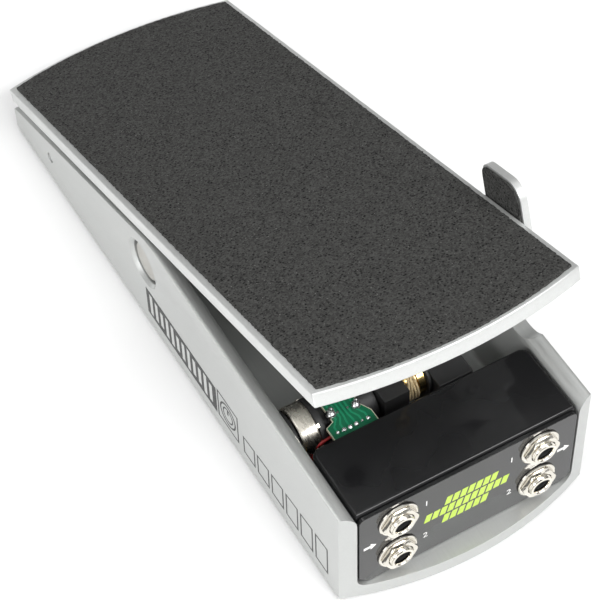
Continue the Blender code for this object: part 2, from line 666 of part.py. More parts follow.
def make_heel_end(steel, rubber):
    """The cross pin anchors the spring and holds the two rubber blocks that the treadle rests on."""
    pin = [(CROSS_PIN_R - 0.4, -51.6), (CROSS_PIN_R, -51.2), (CROSS_PIN_R, 51.2), (CROSS_PIN_R - 0.4, 51.6)]
    frame = at(ALONG_X, 0, CROSS_PIN.y, CROSS_PIN.z)
    add_object("cross_pin", turned(pin, frame, sides=16), steel)
    front, back = CROSS_PIN.y - 8, CROSS_PIN.y + 8
    for side, name in ((-1, "left"), (1, "right")):
        outline = [(front, BASE + GAP), (back, BASE + GAP)]
        for y in (back, front):
            outline.append((y, underside_z(y) - GAP))
        low, high = sorted((side * 18.0, side * 38.0))
        stop = add_object(f"heel_stop_{name}", prism(outline, low, high, ALONG_X), rubber)
        boolean(stop, turned([(CROSS_PIN_R + GAP, -60), (CROSS_PIN_R + GAP, 60)], frame, sides=16))


def underside_z(y):
    """Height of the treadle's lower face over a place along the chassis."""
    top = TREADLE_TOE.z - (y - TREADLE_TOE.y) * math.tan(TREADLE_TILT)
    return top - TREADLE_THICK / math.cos(TREADLE_TILT)


def make_toe_bumpers(rubber):
    """Rubber buttons under the treadle's toe, which land on the jack cover."""
    top = -TREADLE_THICK - GAP
    for side, name in ((-1, "left"), (1, "right")):
        profile = [(4.3, top - 3.3), (5.0, top - 2.6), (5.0, top)]
        frame = TREADLE_FRAME @ at(ALONG_Z, side * 30.0, 22.0, 0)
        add_object(f"toe_bumper_{name}", turned(profile, frame, sides=16), rubber, PIVOT)


def main():
    clear_scene()
    paint = material("silver_paint", (0.62, 0.62, 0.61), 0.45, 0.3)
    tape = material("grip_tape", (0.035, 0.035, 0.036), 0.9)
    gloss = material("black_enamel", (0.012, 0.012, 0.013), 0.2)
    black = material("black_plastic", (0.02, 0.02, 0.02), 0.5)
    nickel = material("nickel", (0.75, 0.74, 0.70), 0.2, 1.0)
    steel = material("zinc_steel", (0.6, 0.6, 0.6), 0.35, 1.0)
    brass = material("brass", (0.72, 0.53, 0.22), 0.3, 1.0)
    bronze = material("bush_bronze", (0.45, 0.32, 0.16), 0.45, 1.0)
    aluminium = material("aluminium", (0.7, 0.7, 0.71), 0.35, 1.0)
    board = material("circuit_board", (0.01, 0.16, 0.06), 0.35)
    rubber = material("rubber", (0.03, 0.03, 0.03), 0.85)
    fibre = material("cord_fibre", (0.62, 0.5, 0.3), 0.8)

    make_chassis(paint)
    make_base_screws(steel)
    make_feet(rubber)
    make_treadle(paint, tape)
    make_side_tab(paint, tape, steel)
    make_pivot(aluminium, bronze, steel)
    make_jack_panel(gloss)
    make_cover(gloss)
    make_jacks(black, nickel)
    make_control(nickel, black, board, steel)
    make_drum(steel, brass, black)
    make_drive(fibre, brass, steel)
    make_heel_end(steel, rubber)
    make_toe_bumpers(rubber)


main()
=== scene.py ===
"""The looks of the volume pedal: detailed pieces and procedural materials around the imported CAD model.

Lengths are in millimetres in the chassis's layout (X across, Y from its toe-end corners to the heel, Z up
from its underside) and LAYOUT turns them into the frame's metres. Pieces of the treadle are laid out in the
treadle's own axes: across, along from its toe edge, and up from its top face.
"""

import json
import math

import bmesh
import bpy
from mathutils import Matrix, Vector, noise

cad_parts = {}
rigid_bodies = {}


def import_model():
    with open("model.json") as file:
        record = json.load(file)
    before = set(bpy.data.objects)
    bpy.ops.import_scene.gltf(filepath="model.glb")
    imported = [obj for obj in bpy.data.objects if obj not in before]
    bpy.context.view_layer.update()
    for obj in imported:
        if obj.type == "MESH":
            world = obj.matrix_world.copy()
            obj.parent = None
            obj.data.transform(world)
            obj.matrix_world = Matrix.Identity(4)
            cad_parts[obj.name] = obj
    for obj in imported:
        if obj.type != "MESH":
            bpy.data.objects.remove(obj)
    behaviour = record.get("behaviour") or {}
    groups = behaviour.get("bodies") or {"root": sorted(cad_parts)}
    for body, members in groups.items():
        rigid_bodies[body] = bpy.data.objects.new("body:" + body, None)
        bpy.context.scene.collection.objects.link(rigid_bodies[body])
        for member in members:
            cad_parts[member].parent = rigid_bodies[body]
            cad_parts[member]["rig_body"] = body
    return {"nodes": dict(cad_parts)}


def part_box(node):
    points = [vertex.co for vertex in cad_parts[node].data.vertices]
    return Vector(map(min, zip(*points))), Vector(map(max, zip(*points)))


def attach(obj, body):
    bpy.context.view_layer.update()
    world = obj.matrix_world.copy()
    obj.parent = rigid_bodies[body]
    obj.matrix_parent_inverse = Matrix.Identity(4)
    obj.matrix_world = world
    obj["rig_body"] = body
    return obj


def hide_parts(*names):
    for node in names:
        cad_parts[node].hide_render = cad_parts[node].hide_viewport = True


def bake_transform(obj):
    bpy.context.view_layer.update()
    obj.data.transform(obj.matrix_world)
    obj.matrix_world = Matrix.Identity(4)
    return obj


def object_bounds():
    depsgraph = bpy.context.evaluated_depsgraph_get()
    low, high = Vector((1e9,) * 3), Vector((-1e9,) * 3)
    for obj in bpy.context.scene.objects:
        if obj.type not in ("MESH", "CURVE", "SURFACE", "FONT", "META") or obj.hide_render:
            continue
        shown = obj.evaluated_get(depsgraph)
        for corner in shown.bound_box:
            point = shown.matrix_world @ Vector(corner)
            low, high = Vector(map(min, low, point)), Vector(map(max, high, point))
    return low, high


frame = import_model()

CAD_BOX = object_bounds()
MM = 0.001

# The layout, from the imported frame
FRONT_BOW = 10.0
CHASSIS_LOW, CHASSIS_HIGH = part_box("chassis")
TOE_MIDDLE = Vector(
    ((CHASSIS_LOW.x + CHASSIS_HIGH.x) / 2, CHASSIS_LOW.y + FRONT_BOW * MM, CHASSIS_LOW.z)
)
LAYOUT = Matrix.Translation(TOE_MIDDLE) @ Matrix.Scale(MM, 4)
TREADLE_TILT = math.radians(18.54)
TREADLE_TOE = Vector((0.0, 15.51, 106.35))
TREADLE = LAYOUT @ Matrix.Translation(TREADLE_TOE) @ Matrix.Rotation(-TREADLE_TILT, 4, "X")

# Sizes shared by several pieces
HALF_WIDTH = 52.0
PANEL_Y = -2.3
JACK_X = 29.4
JACK_ROWS = {"upper": 38.2, "lower": 17.5}
SHAFT_Y, SHAFT_Z = 51.3, 30.0
SHAFT_R = 3.0
SHAFT_BORE_R = 3.3
BOARD_TOP = 39.4
PAD_Y = 38.6  # the row of solder joints across the board
PAD_PITCH = 2.54
STRAND_R = 0.58  # the cord is doubled: two strands lie side by side all along it
CORD_WRAP_R = 7.0
CORD_X = 4.95
CORD_PITCH = 2.6
CORD_LEAN = math.radians(11)
WRAP_TURNS = 1.25
CORD_RETURN = 43.4  # how far the cord runs back from the drum, into its ferrule
CROSS_PIN = Vector((0.0, 234.0, 12.7))
PIVOT_Y, PIVOT_Z = 147.2, 35.0
TAPE_HALF, TAPE_TOE, TAPE_HEEL = 50.0, 1.4, 266.5
TAPE_TOE_BOW, TAPE_HEEL_BOW = 8.0, 8.9
PRINT_FRONT, PRINT_BACK = PANEL_Y - 0.045, PANEL_Y - 0.015  # printed marks on the jack panel
SIDE_FACE = -HALF_WIDTH
SIDE_BACK, SIDE_INK = SIDE_FACE - 0.01, SIDE_FACE - 0.035  # printed marks on the left wall
SIDE_LINE = 0.8
SHARP_EDGE = 35  # edges that turn by more degrees than this are rounded off

ALONG_X = Matrix(((0, 0, 1, 0), (1, 0, 0, 0), (0, 1, 0, 0), (0, 0, 0, 1)))
ALONG_Y = Matrix(((1, 0, 0, 0), (0, 0, 1, 0), (0, 1, 0, 0), (0, 0, 0, 1)))
ALONG_Z = Matrix.Identity(4)


# ---- materials


class Nodes:
    """A material's node tree, with short calls for adding and joining nodes."""

    def __init__(self, name, roughness=0.5, metallic=0.0):
        self.material = bpy.data.materials.new(name)
        self.material.use_nodes = True
        self.tree = self.material.node_tree
        self.shader = self.tree.nodes["Principled BSDF"]
        self.set("Roughness", roughness)
        self.set("Metallic", metallic)
        coordinates = self.add("ShaderNodeTexCoord")
        self.place = coordinates.outputs["Object"]

    def add(self, kind, **settings):
        node = self.tree.nodes.new(kind)
        for key, value in settings.items():
            setattr(node, key, value)
        return node

    def set(self, name, value):
        self.shader.inputs[name].default_value = value

    def join(self, output, socket):
        self.tree.links.new(output, socket)

    def feed(self, value, socket):
        """Joins an output to a socket, or sets the socket to a plain value."""
        if isinstance(value, bpy.types.NodeSocket):
            self.join(value, socket)
        else:
            socket.default_value = value

    def stretched(self, scale):
        """The object's coordinates, scaled on each axis."""
        mapping = self.add("ShaderNodeMapping")
        self.join(self.place, mapping.inputs["Vector"])
        mapping.inputs["Scale"].default_value = scale
        return mapping.outputs["Vector"]

    def noise(self, scale, detail=2.0, roughness=0.5, vector=None):
        node = self.add("ShaderNodeTexNoise")
        self.join(vector or self.place, node.inputs["Vector"])
        node.inputs["Scale"].default_value = scale
        node.inputs["Detail"].default_value = detail
        node.inputs["Roughness"].default_value = roughness
        return node.outputs["Fac"]

    def cells(self, scale, feature="F1"):
        node = self.add("ShaderNodeTexVoronoi", feature=feature)
        self.join(self.place, node.inputs["Vector"])
        node.inputs["Scale"].default_value = scale
        return node

    def ramp(self, value, stops):
        """A colour ramp: stops are (place, grey or colour)."""
        node = self.add("ShaderNodeValToRGB")
        elements = node.color_ramp.elements
        while len(elements) < len(stops):
            elements.new(0.5)
        for element, (place, colour) in zip(elements, stops):
            colour = (colour,) * 3 if isinstance(colour, (int, float)) else colour
            element.position = place
            element.color = (*colour, 1.0)
        self.join(value, node.inputs["Fac"])
        return node.outputs["Color"]

    def mix(self, factor, first, second, blend="MIX"):
        """Mixes two colours: the node's input 0 is the factor, 6 and 7 are the colours."""
        node = self.add("ShaderNodeMix", data_type="RGBA", blend_type=blend)
        for index, value in ((0, factor), (6, first), (7, second)):
            self.feed((*value, 1.0) if isinstance(value, tuple) else value, node.inputs[index])
        return node.outputs[2]

    def maths(self, operation, first, second):
        node = self.add("ShaderNodeMath", operation=operation)
        for value, socket in zip((first, second), node.inputs):
            self.feed(value, socket)
        return node.outputs[0]

    def spread(self, value, low, high):
        """Maps the middle part of a noise, 0.3 to 0.7, onto a range."""
        node = self.add("ShaderNodeMapRange")
        self.join(value, node.inputs["Value"])
        node.inputs["From Min"].default_value = 0.3
        node.inputs["From Max"].default_value = 0.7
        node.inputs["To Min"].default_value = low
        node.inputs["To Max"].default_value = high
        return node.outputs["Result"]

    def bump(self, height, distance, strength=1.0, normal=None):
        node = self.add("ShaderNodeBump")
        node.inputs["Distance"].default_value = distance * MM
        node.inputs["Strength"].default_value = strength
        self.join(height, node.inputs["Height"])
        if normal:
            self.join(normal, node.inputs["Normal"])
        return node.outputs["Normal"]

    def finish(self, colour=None, roughness=None, normal=None):
        for name, output in (("Base Color", colour), ("Roughness", roughness), ("Normal", normal)):
            if output:
                self.join(output, self.shader.inputs[name])
        return self.material


def satin_aluminium(name, light, along=(1.0, 0.08, 1.0)):
    """Clear-anodised extrusion: satin, with a faint drawn grain and a fine pebble from etching."""
    made = Nodes(name, metallic=0.55)
    grain = made.noise(1600, 3, 0.6, made.stretched(along))
    cloud = made.noise(22, 3)
    pebble = made.noise(2600, 2)
    tone = made.ramp(cloud, [(0.3, tuple(c * 0.96 for c in light)), (0.7, light)])
    streak = made.ramp(grain, [(0.3, 0.93), (0.7, 1.0)])
    colour = made.mix(1.0, tone, streak, "MULTIPLY")
    roughness = made.spread(grain, 0.34, 0.46)
    return made.finish(colour, roughness, made.bump(pebble, 0.02, 0.35))


def spots(made, scale, radius, share):
    """A mask of round spots, one in each cell of a grid, of which only a share is kept."""
    cells = made.cells(scale)
    near = made.ramp(cells.outputs["Distance"], [(radius * 0.55, 1.0), (radius, 0.0)])
    kept = made.ramp(cells.outputs["Color"], [(1 - share - 0.02, 0.0), (1 - share, 1.0)])
    return made.maths("MULTIPLY", near, kept)


def grit(name, dark, light):
    """Mineral grit bonded to a sheet: irregular grains, pits between them painted near-black as shade and a
    few grains painted bright as glints.
    """
    made = Nodes(name, roughness=0.9)
    grains = made.cells(1500)
    fine = made.noise(3400, 4, 0.7)
    tone = made.ramp(grains.outputs["Color"], [(0.05, dark), (0.95, light)])
    # Painted shade: round near-black spots stand for the shade in the pits between grains.
    painted_shade_pits = made.maths("MAXIMUM", spots(made, 760, 0.42, 0.40), spots(made, 1250, 0.42, 0.34))
    colour = made.mix(painted_shade_pits, tone, tuple(c * 0.08 for c in dark))
    # Painted highlight: a few grains are painted much lighter as glints.
    colour = made.mix(spots(made, 1300, 0.34, 0.10), colour, tuple(min(1.0, 2.6 * c) for c in light))
    relief = made.maths("ADD", grains.outputs["Distance"], fine)
    bumped = made.bump(relief, 0.22, 0.8)
    made.set("Specular IOR Level", 0.25)
    return made.finish(colour, made.spread(fine, 0.7, 1.0), bumped)


def gloss_enamel(name, shine, coat):
    """Black baked enamel: glossy, with faint orange peel and the odd speck of dust."""
    made = Nodes(name, roughness=0.16)
    peel = made.noise(420, 2)
    dust = made.cells(150)
    speck = made.ramp(dust.outputs["Distance"], [(0.0, 1.0), (0.035, 0.0)])
    rare = made.ramp(dust.outputs["Color"], [(0.86, 0.0), (0.9, 1.0)])
    shade = made.ramp(made.noise(30, 2), [(0.35, (0.007, 0.007, 0.0075)), (0.65, (0.012, 0.012, 0.0125))])
    colour = made.mix(made.maths("MULTIPLY", speck, rare), shade, (0.16, 0.15, 0.14))
    made.set("Specular IOR Level", shine)
    made.set("Coat Weight", coat)
    made.set("Coat Roughness", 0.08)
    return made.finish(colour, made.spread(peel, 0.08, 0.14), made.bump(peel, 0.02, 0.10))


def metal(name, light, shade, rough, scale=90, stretch=(1, 1, 1)):
    """Plated or bare metal whose tone and polish wander a little."""
    made = Nodes(name, metallic=1.0)
    vector = made.stretched(stretch)
    cloud = made.noise(scale, 3, 0.55, vector)
    scratch = made.noise(scale * 14, 3, 0.6, vector)
    colour = made.ramp(cloud, [(0.3, shade), (0.7, light)])
    return made.finish(colour, made.spread(scratch, rough * 0.75, rough * 1.4), made.bump(scratch, 0.01, 0.2))


def turned_metal(name, light, shade, rough, axis="X"):
    """Machined metal, with fine rings about the axis of the lathe, through the piece's own origin."""
    made = Nodes(name, metallic=1.0)
    rings = made.add("ShaderNodeTexWave", wave_type="RINGS", rings_direction=axis)
    made.join(made.place, rings.inputs["Vector"])
    rings.inputs["Scale"].default_value = 700
    rings.inputs["Distortion"].default_value = 1.2
    cloud = made.noise(160, 3)
    colour = made.ramp(cloud, [(0.3, shade), (0.7, light)])
    relief = made.bump(rings.outputs["Fac"], 0.01, 0.25)
    return made.finish(colour, made.spread(cloud, rough * 0.8, rough * 1.25), relief)


def moulded(name, light, dark, rough, scale=700, depth=0.03):
    """Moulded plastic or rubber with a fine skin."""
    made = Nodes(name)
    skin = made.noise(scale, 3, 0.6)
    cloud = made.noise(45, 3)
    colour = made.ramp(cloud, [(0.3, dark), (0.7, light)])
    roughness = made.spread(cloud, rough * 0.88, min(1.0, rough * 1.12))
    return made.finish(colour, roughness, made.bump(skin, depth, 0.5))


def solder():
    made = Nodes("solder_metal", metallic=1.0)
    lump = made.noise(900, 3, 0.6)
    colour = made.ramp(lump, [(0.35, (0.45, 0.46, 0.46)), (0.6, (0.86, 0.87, 0.87))])
    return made.finish(colour, made.spread(lump, 0.12, 0.34), made.bump(lump, 0.12, 0.6))


def fibre():
    """Waxed twisted cord: fine hairs along each strand."""
    made = Nodes("cord_fibre_strands", roughness=0.75)
    hair = made.noise(3000, 3, 0.7, made.stretched((1, 1, 0.25)))
    colour = made.ramp(hair, [(0.3, (0.42, 0.30, 0.13)), (0.65, (0.82, 0.67, 0.40))])
    made.set("Sheen Weight", 0.3)
    return made.finish(colour, made.spread(hair, 0.6, 0.85), made.bump(hair, 0.05, 0.6))


def print_ink(name, colour):
    """Screen-printed ink, a little uneven in cover."""
    made = Nodes(name, roughness=0.5)
    cover = made.noise(900, 3, 0.6)
    shade = made.ramp(cover, [(0.3, tuple(c * 0.82 for c in colour)), (0.6, colour)])
    return made.finish(shade, made.spread(cover, 0.4, 0.6), made.bump(cover, 0.01, 0.2))


PAINT = satin_aluminium("silver_satin", (0.50, 0.51, 0.50))
# The treadle's satin is a lighter copy of the chassis's. The extra lightness is painted light, for the
# brighter light its edges catch.
TREADLE_LIT_SATIN = satin_aluminium("treadle_satin_painted_light", (0.62, 0.63, 0.62))
GRIT = grit("grip_grit", (0.022, 0.022, 0.021), (0.070, 0.070, 0.067))
COVER_ENAMEL = gloss_enamel("cover_enamel", 0.3, 0.0)
PANEL_ENAMEL = gloss_enamel("panel_enamel", 0.5, 0.2)
NICKEL = metal("nickel_plate", (0.80, 0.77, 0.70), (0.62, 0.59, 0.53), 0.10)
CAN_NICKEL = metal("can_nickel", (0.66, 0.63, 0.56), (0.54, 0.51, 0.45), 0.26, 60, (1, 0.3, 0.3))
ZINC = metal("zinc_plate", (0.66, 0.67, 0.66), (0.42, 0.43, 0.43), 0.34)
BLACK_OXIDE = metal("black_oxide_steel", (0.06, 0.06, 0.065), (0.03, 0.03, 0.032), 0.4)
BRASS = turned_metal("turned_brass", (0.86, 0.66, 0.30), (0.62, 0.44, 0.17), 0.22)
SHAFT_STEEL = turned_metal("turned_steel", (0.66, 0.66, 0.65), (0.45, 0.45, 0.44), 0.3)
AXLE_ALUMINIUM = turned_metal("turned_aluminium", (0.56, 0.55, 0.52), (0.46, 0.45, 0.42), 0.42)
PLASTIC = moulded("black_moulding", (0.026, 0.026, 0.027), (0.014, 0.014, 0.014), 0.5)
RUBBER = moulded("black_rubber", (0.040, 0.040, 0.040), (0.022, 0.022, 0.022), 0.85, 500, 0.05)
BOARD_MASK = moulded("green_solder_mask", (0.006, 0.135, 0.062), (0.004, 0.095, 0.042), 0.3, 1500, 0.01)
BOARD_TRACE = moulded("green_covered_copper", (0.014, 0.235, 0.115), (0.010, 0.185, 0.088), 0.3, 1500, 0.01)
BOARD_CORE = moulded("glass_fibre_core", (0.62, 0.60, 0.46), (0.50, 0.48, 0.36), 0.6, 1200, 0.03)
SOLDER = solder()
FIBRE = fibre()
RED_WIRE = moulded("red_insulation", (0.50, 0.035, 0.035), (0.36, 0.02, 0.02), 0.38, 900, 0.01)
BLACK_WIRE = moulded("black_insulation", (0.03, 0.03, 0.03), (0.015, 0.015, 0.015), 0.38, 900, 0.01)
YELLOW_WIRE = moulded("yellow_insulation", (0.62, 0.42, 0.07), (0.5, 0.32, 0.05), 0.38, 900, 0.01)
BLACK_INK = print_ink("black_ink", (0.022, 0.022, 0.022))
GREY_INK = print_ink("silver_ink", (0.50, 0.51, 0.50))
WHITE_INK = print_ink("white_ink", (0.82, 0.82, 0.80))
GREEN_INK = print_ink("green_ink", (0.49, 0.67, 0.09))


# ---- mesh tools


def circle(radius, sides=48):
    angles = [2 * math.pi * i / sides for i in range(sides)]
    return [(radius * math.cos(a), radius * math.sin(a)) for a in angles]


def hexagon(across_flats, sides=48, most=None):
    """Points round a hexagon; `most` rounds its corners off to a radius."""
    points = []
    for i in range(sides):
        angle = 2 * math.pi * i / sides
        off_flat = (angle + math.pi / 6) % (math.pi / 3) - math.pi / 6
        radius = across_flats / 2 / math.cos(math.pi / 6 - abs(off_flat))
        radius = min(radius, most) if most else radius
        points.append((radius * math.cos(angle), radius * math.sin(angle)))
    return points


def rectangle(width, height, sides=48):
    """Points round a rectangle, one at each angle, so that it joins up with a circle."""
    points = []
    for i in range(sides):
        angle = 2 * math.pi * i / sides
        across, up = math.cos(angle), math.sin(angle)
        longest = max(abs(across), abs(up))
        points.append((width / 2 * across / longest, height / 2 * up / longest))
    return points


def at(turn, x, y, z):
    """A set of axes moved to a place."""
    return Matrix.Translation((x, y, z)) @ turn


def skin(shape, rings, closed=False, caps=True):
    """Joins rows of points, each as long as the next, into a surface."""
    made = [[shape.verts.new(point) for point in ring] for ring in rings]
    count = len(made[0])
    pairs = list(zip(made, made[1:]))
    if closed:
        pairs.append((made[-1], made[0]))
    for lower, upper in pairs:
        for i in range(count):
            j = (i + 1) % count
            shape.faces.new((lower[i], lower[j], upper[j], upper[i]))
    if caps and not closed:
        shape.faces.new(made[0])
        shape.faces.new(made[-1])
    return shape


def loft(rings, turn, closed=False, shape=None):
    """Skins outlines, each (outline, place along the axis), in millimetres."""
    rows = [[turn @ Vector((u, v, w)) for u, v in outline] for outline, w in rings]
    return skin(shape or bmesh.new(), rows, closed)


def turned(profile, turn, closed=False, sides=48, shape=None):
    """A solid of revolution: the profile is (radius, place along the axis)."""
    return loft([(circle(radius, sides), w) for radius, w in profile], turn, closed, shape)


def prism(outline, low, high, turn, shape=None):
    return loft([(outline, low), (outline, high)], turn, shape=shape)


def tube(path, radius, sides=10, shape=None):
    """A round wire through a list of points, with capped ends."""
    return skin(shape or bmesh.new(), tube_rings(path, radius, sides))


def tube_rings(path, radius, sides):
    """Rings of points square to a path, which don't turn about it."""
    rings = []
    normal = None
    for index, point in enumerate(path):
        ahead = path[min(index + 1, len(path) - 1)] - path[max(index - 1, 0)]
        ahead.normalize()
        if normal is None:
            normal = ahead.orthogonal().normalized()
        normal = (normal - ahead * normal.dot(ahead)).normalized()
        side = ahead.cross(normal)
        angles = [2 * math.pi * i / sides for i in range(sides)]
        rings.append([point + radius * (math.cos(a) * normal + math.sin(a) * side) for a in angles])
    return rings


def smooth_path(points, steps=8):
    """A Catmull-Rom curve through given points."""
    points = [Vector(p) for p in points]
    padded = [2 * points[0] - points[1]] + points + [2 * points[-1] - points[-2]]
    path = []
    for a, b, c, d in zip(padded, padded[1:], padded[2:], padded[3:]):
        for i in range(steps):
            t = i / steps
            square, cube = 2 * a - 5 * b + 4 * c - d, 3 * b - a - 3 * c + d
            path.append(0.5 * (2 * b + t * (c - a) + t * t * square + t**3 * cube))
    return path + [points[-1]]


def in_scene(name, data):
    made = bpy.data.objects.new(name, data)
    bpy.context.scene.collection.objects.link(made)
    return made


def add_piece(name, shape, finish, replaces=(), body="base", space=LAYOUT, smooth=40):
    """Makes a piece of a bmesh that is in the given space's millimetres."""
    bmesh.ops.recalc_face_normals(shape, faces=shape.faces)
    bmesh.ops.transform(shape, matrix=space, verts=shape.verts)
    return finish_piece(name, shape, finish, body, replaces, smooth)


def finish_piece(name, shape, finish, body, replaces, smooth):
    """Makes an object with its origin in its middle, attaches it to the body it rides on and hides the CAD
    parts it stands for.
    """
    low = Vector([min(v.co[i] for v in shape.verts) for i in range(3)])
    high = Vector([max(v.co[i] for v in shape.verts) for i in range(3)])
    centre = (low + high) / 2
    bmesh.ops.translate(shape, vec=-centre, verts=shape.verts)
    mesh = bpy.data.meshes.new(name)
    shape.to_mesh(mesh)
    shape.free()
    mesh.shade_smooth()
    mesh.set_sharp_from_angle(angle=math.radians(smooth))
    mesh.materials.append(finish)
    piece = in_scene(name, mesh)
    piece.location = centre
    if body:
        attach(piece, body)
    if replaces:
        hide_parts(*replaces)
    return piece


def softened(node, name, width, finish, segments=2):
    """A copy of a CAD node with softened edges, which stands for it and rides where it does."""
    shape = bmesh.new()
    shape.from_mesh(frame["nodes"][node].data)
    bmesh.ops.remove_doubles(shape, verts=shape.verts, dist=2e-6)
    bmesh.ops.dissolve_limit(shape, angle_limit=math.radians(0.6), verts=shape.verts, edges=shape.edges)
    bmesh.ops.recalc_face_normals(shape, faces=shape.faces)
    piece = finish_piece(name, shape, finish, frame["nodes"][node]["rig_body"], (node,), 40)
    bevel = piece.modifiers.new("soft_edges", "BEVEL")
    bevel.width = width * MM
    bevel.segments = segments
    bevel.limit_method = "ANGLE"
    bevel.angle_limit = math.radians(SHARP_EDGE)
    bevel.use_clamp_overlap = True
    bevel.harden_normals = True
    return piece


# ---- the pedal's body


def make_body():
    """The pieces whose shapes are the CAD's own, with softer edges."""
    softened("chassis", "chassis_channel", 0.45, PAINT, 3)
    softened("treadle_plate", "treadle_board", 0.35, TREADLE_LIT_SATIN, 2)
    softened("side_tab", "side_tab_bracket", 0.5, TREADLE_LIT_SATIN, 3)
    softened("jack_cover", "jack_cover_sheet", 0.35, COVER_ENAMEL, 2)
    softened("jack_panel", "jack_panel_sheet", 0.25, PANEL_ENAMEL, 2)
    softened("control_bracket", "control_bracket_sheet", 0.4, PLASTIC)
    softened("shaft_bearing_block", "shaft_bearing", 0.6, PLASTIC, 3)
    for side in ("left", "right"):
        softened(f"axle_hanger_{side}", f"axle_hanger_{side}_casting", 0.6, ZINC)
        softened(f"heel_stop_{side}", f"heel_stop_{side}_block", 0.8, RUBBER, 3)
        softened(f"toe_bumper_{side}", f"toe_bumper_{side}_button", 0.5, RUBBER, 3)
    softened("cross_pin", "cross_pin_rod", 0.3, ZINC)
    softened("side_tab_grip_tape", "side_tab_grit", 0.2, GRIT)


def bow(across, half, depth):
    """How far a curved end of the given depth stands out at a place across it."""
    radius = (half * half + depth * depth) / (2 * depth)
    return math.sqrt(radius * radius - across * across) - (radius - depth)


def make_grip_tape():
    """The treadle's grit sheet: an uneven top, a slightly ragged cut edge and a closed underside."""
    across_steps, along_steps = 100, 260
    foot, top = 0.06, 1.05
    grid = []
    for j in range(along_steps + 1):
        row = []
        for i in range(across_steps + 1):
            across = TAPE_HALF * (2 * i / across_steps - 1)
            start = TAPE_TOE - bow(across, TAPE_HALF, TAPE_TOE_BOW)
            end = TAPE_HEEL + bow(across, TAPE_HALF, TAPE_HEEL_BOW)
            along = start + (end - start) * j / along_steps
            fine = noise.noise(Vector((across, along, 0)) * 0.9) * 0.05
            lump = fine + noise.noise(Vector((across, along, 9)) * 0.12) * 0.04
            border = i in (0, across_steps) or j in (0, along_steps)
            ragged = noise.noise(Vector((across, along, 4)) * 0.8) * 0.4 if border else 0.0
            pull = 1 - (0.2 + ragged) / TAPE_HALF if i in (0, across_steps) else 1.0
            shift = ragged if j in (0, along_steps) else 0.0
            row.append((across * pull, along + shift, top + lump - (0.12 if border else 0.0)))
        grid.append(row)
    shape = bmesh.new()
    verts = [[shape.verts.new(point) for point in row] for row in grid]
    for low, high in zip(verts, verts[1:]):
        for i in range(across_steps):
            shape.faces.new((low[i], low[i + 1], high[i + 1], high[i]))
    rim = verts[0] + [row[-1] for row in verts[1:]] + verts[-1][-2::-1] + [row[0] for row in verts[-2:0:-1]]
    lower = [shape.verts.new((v.co.x, v.co.y, foot)) for v in rim]
    for i in range(len(rim)):
        j = (i + 1) % len(rim)
        shape.faces.new((rim[i], lower[i], lower[j], rim[j]))
    shape.faces.new(lower)
    add_piece("treadle_grit", shape, GRIT, ("treadle_grip_tape",), "treadle", TREADLE, 60)


# ---- jacks


def chamfered_nut(across_flats, inner, low, high, turn, cut=0.5):
    """A hexagon nut whose corners are turned off at both faces. low is the seat, high the outer face."""
    way = 1 if high > low else -1
    corner = across_flats / 2 / math.cos(math.pi / 6)
    most = [(corner - cut, 0.0), (corner - cut * 0.45, 0.15), (corner, 0.35)]
    rings = [(circle(inner), low)]
    rings += [(hexagon(across_flats, 48, radius), low + way * step) for radius, step in most]
    rings += [(hexagon(across_flats, 48, radius), high - way * step) for radius, step in reversed(most)]
    rings += [(circle(across_flats / 2 - 0.6), high), (circle(inner + 0.3), high)]
    rings.append((circle(inner), high - way * 0.3))
    return loft(rings, turn, closed=True)


def threads(radius, depth, start, end, pitch=0.8):
    """A profile of fine thread crests, (radius, place), from start to end."""
    way = 1 if end > start else -1
    count = int(abs(end - start) / pitch)
    profile = []
    for i in range(count):
        base = start + way * i * pitch
        profile += [(radius - depth, base), (radius, base + way * pitch * 0.5)]
    return profile


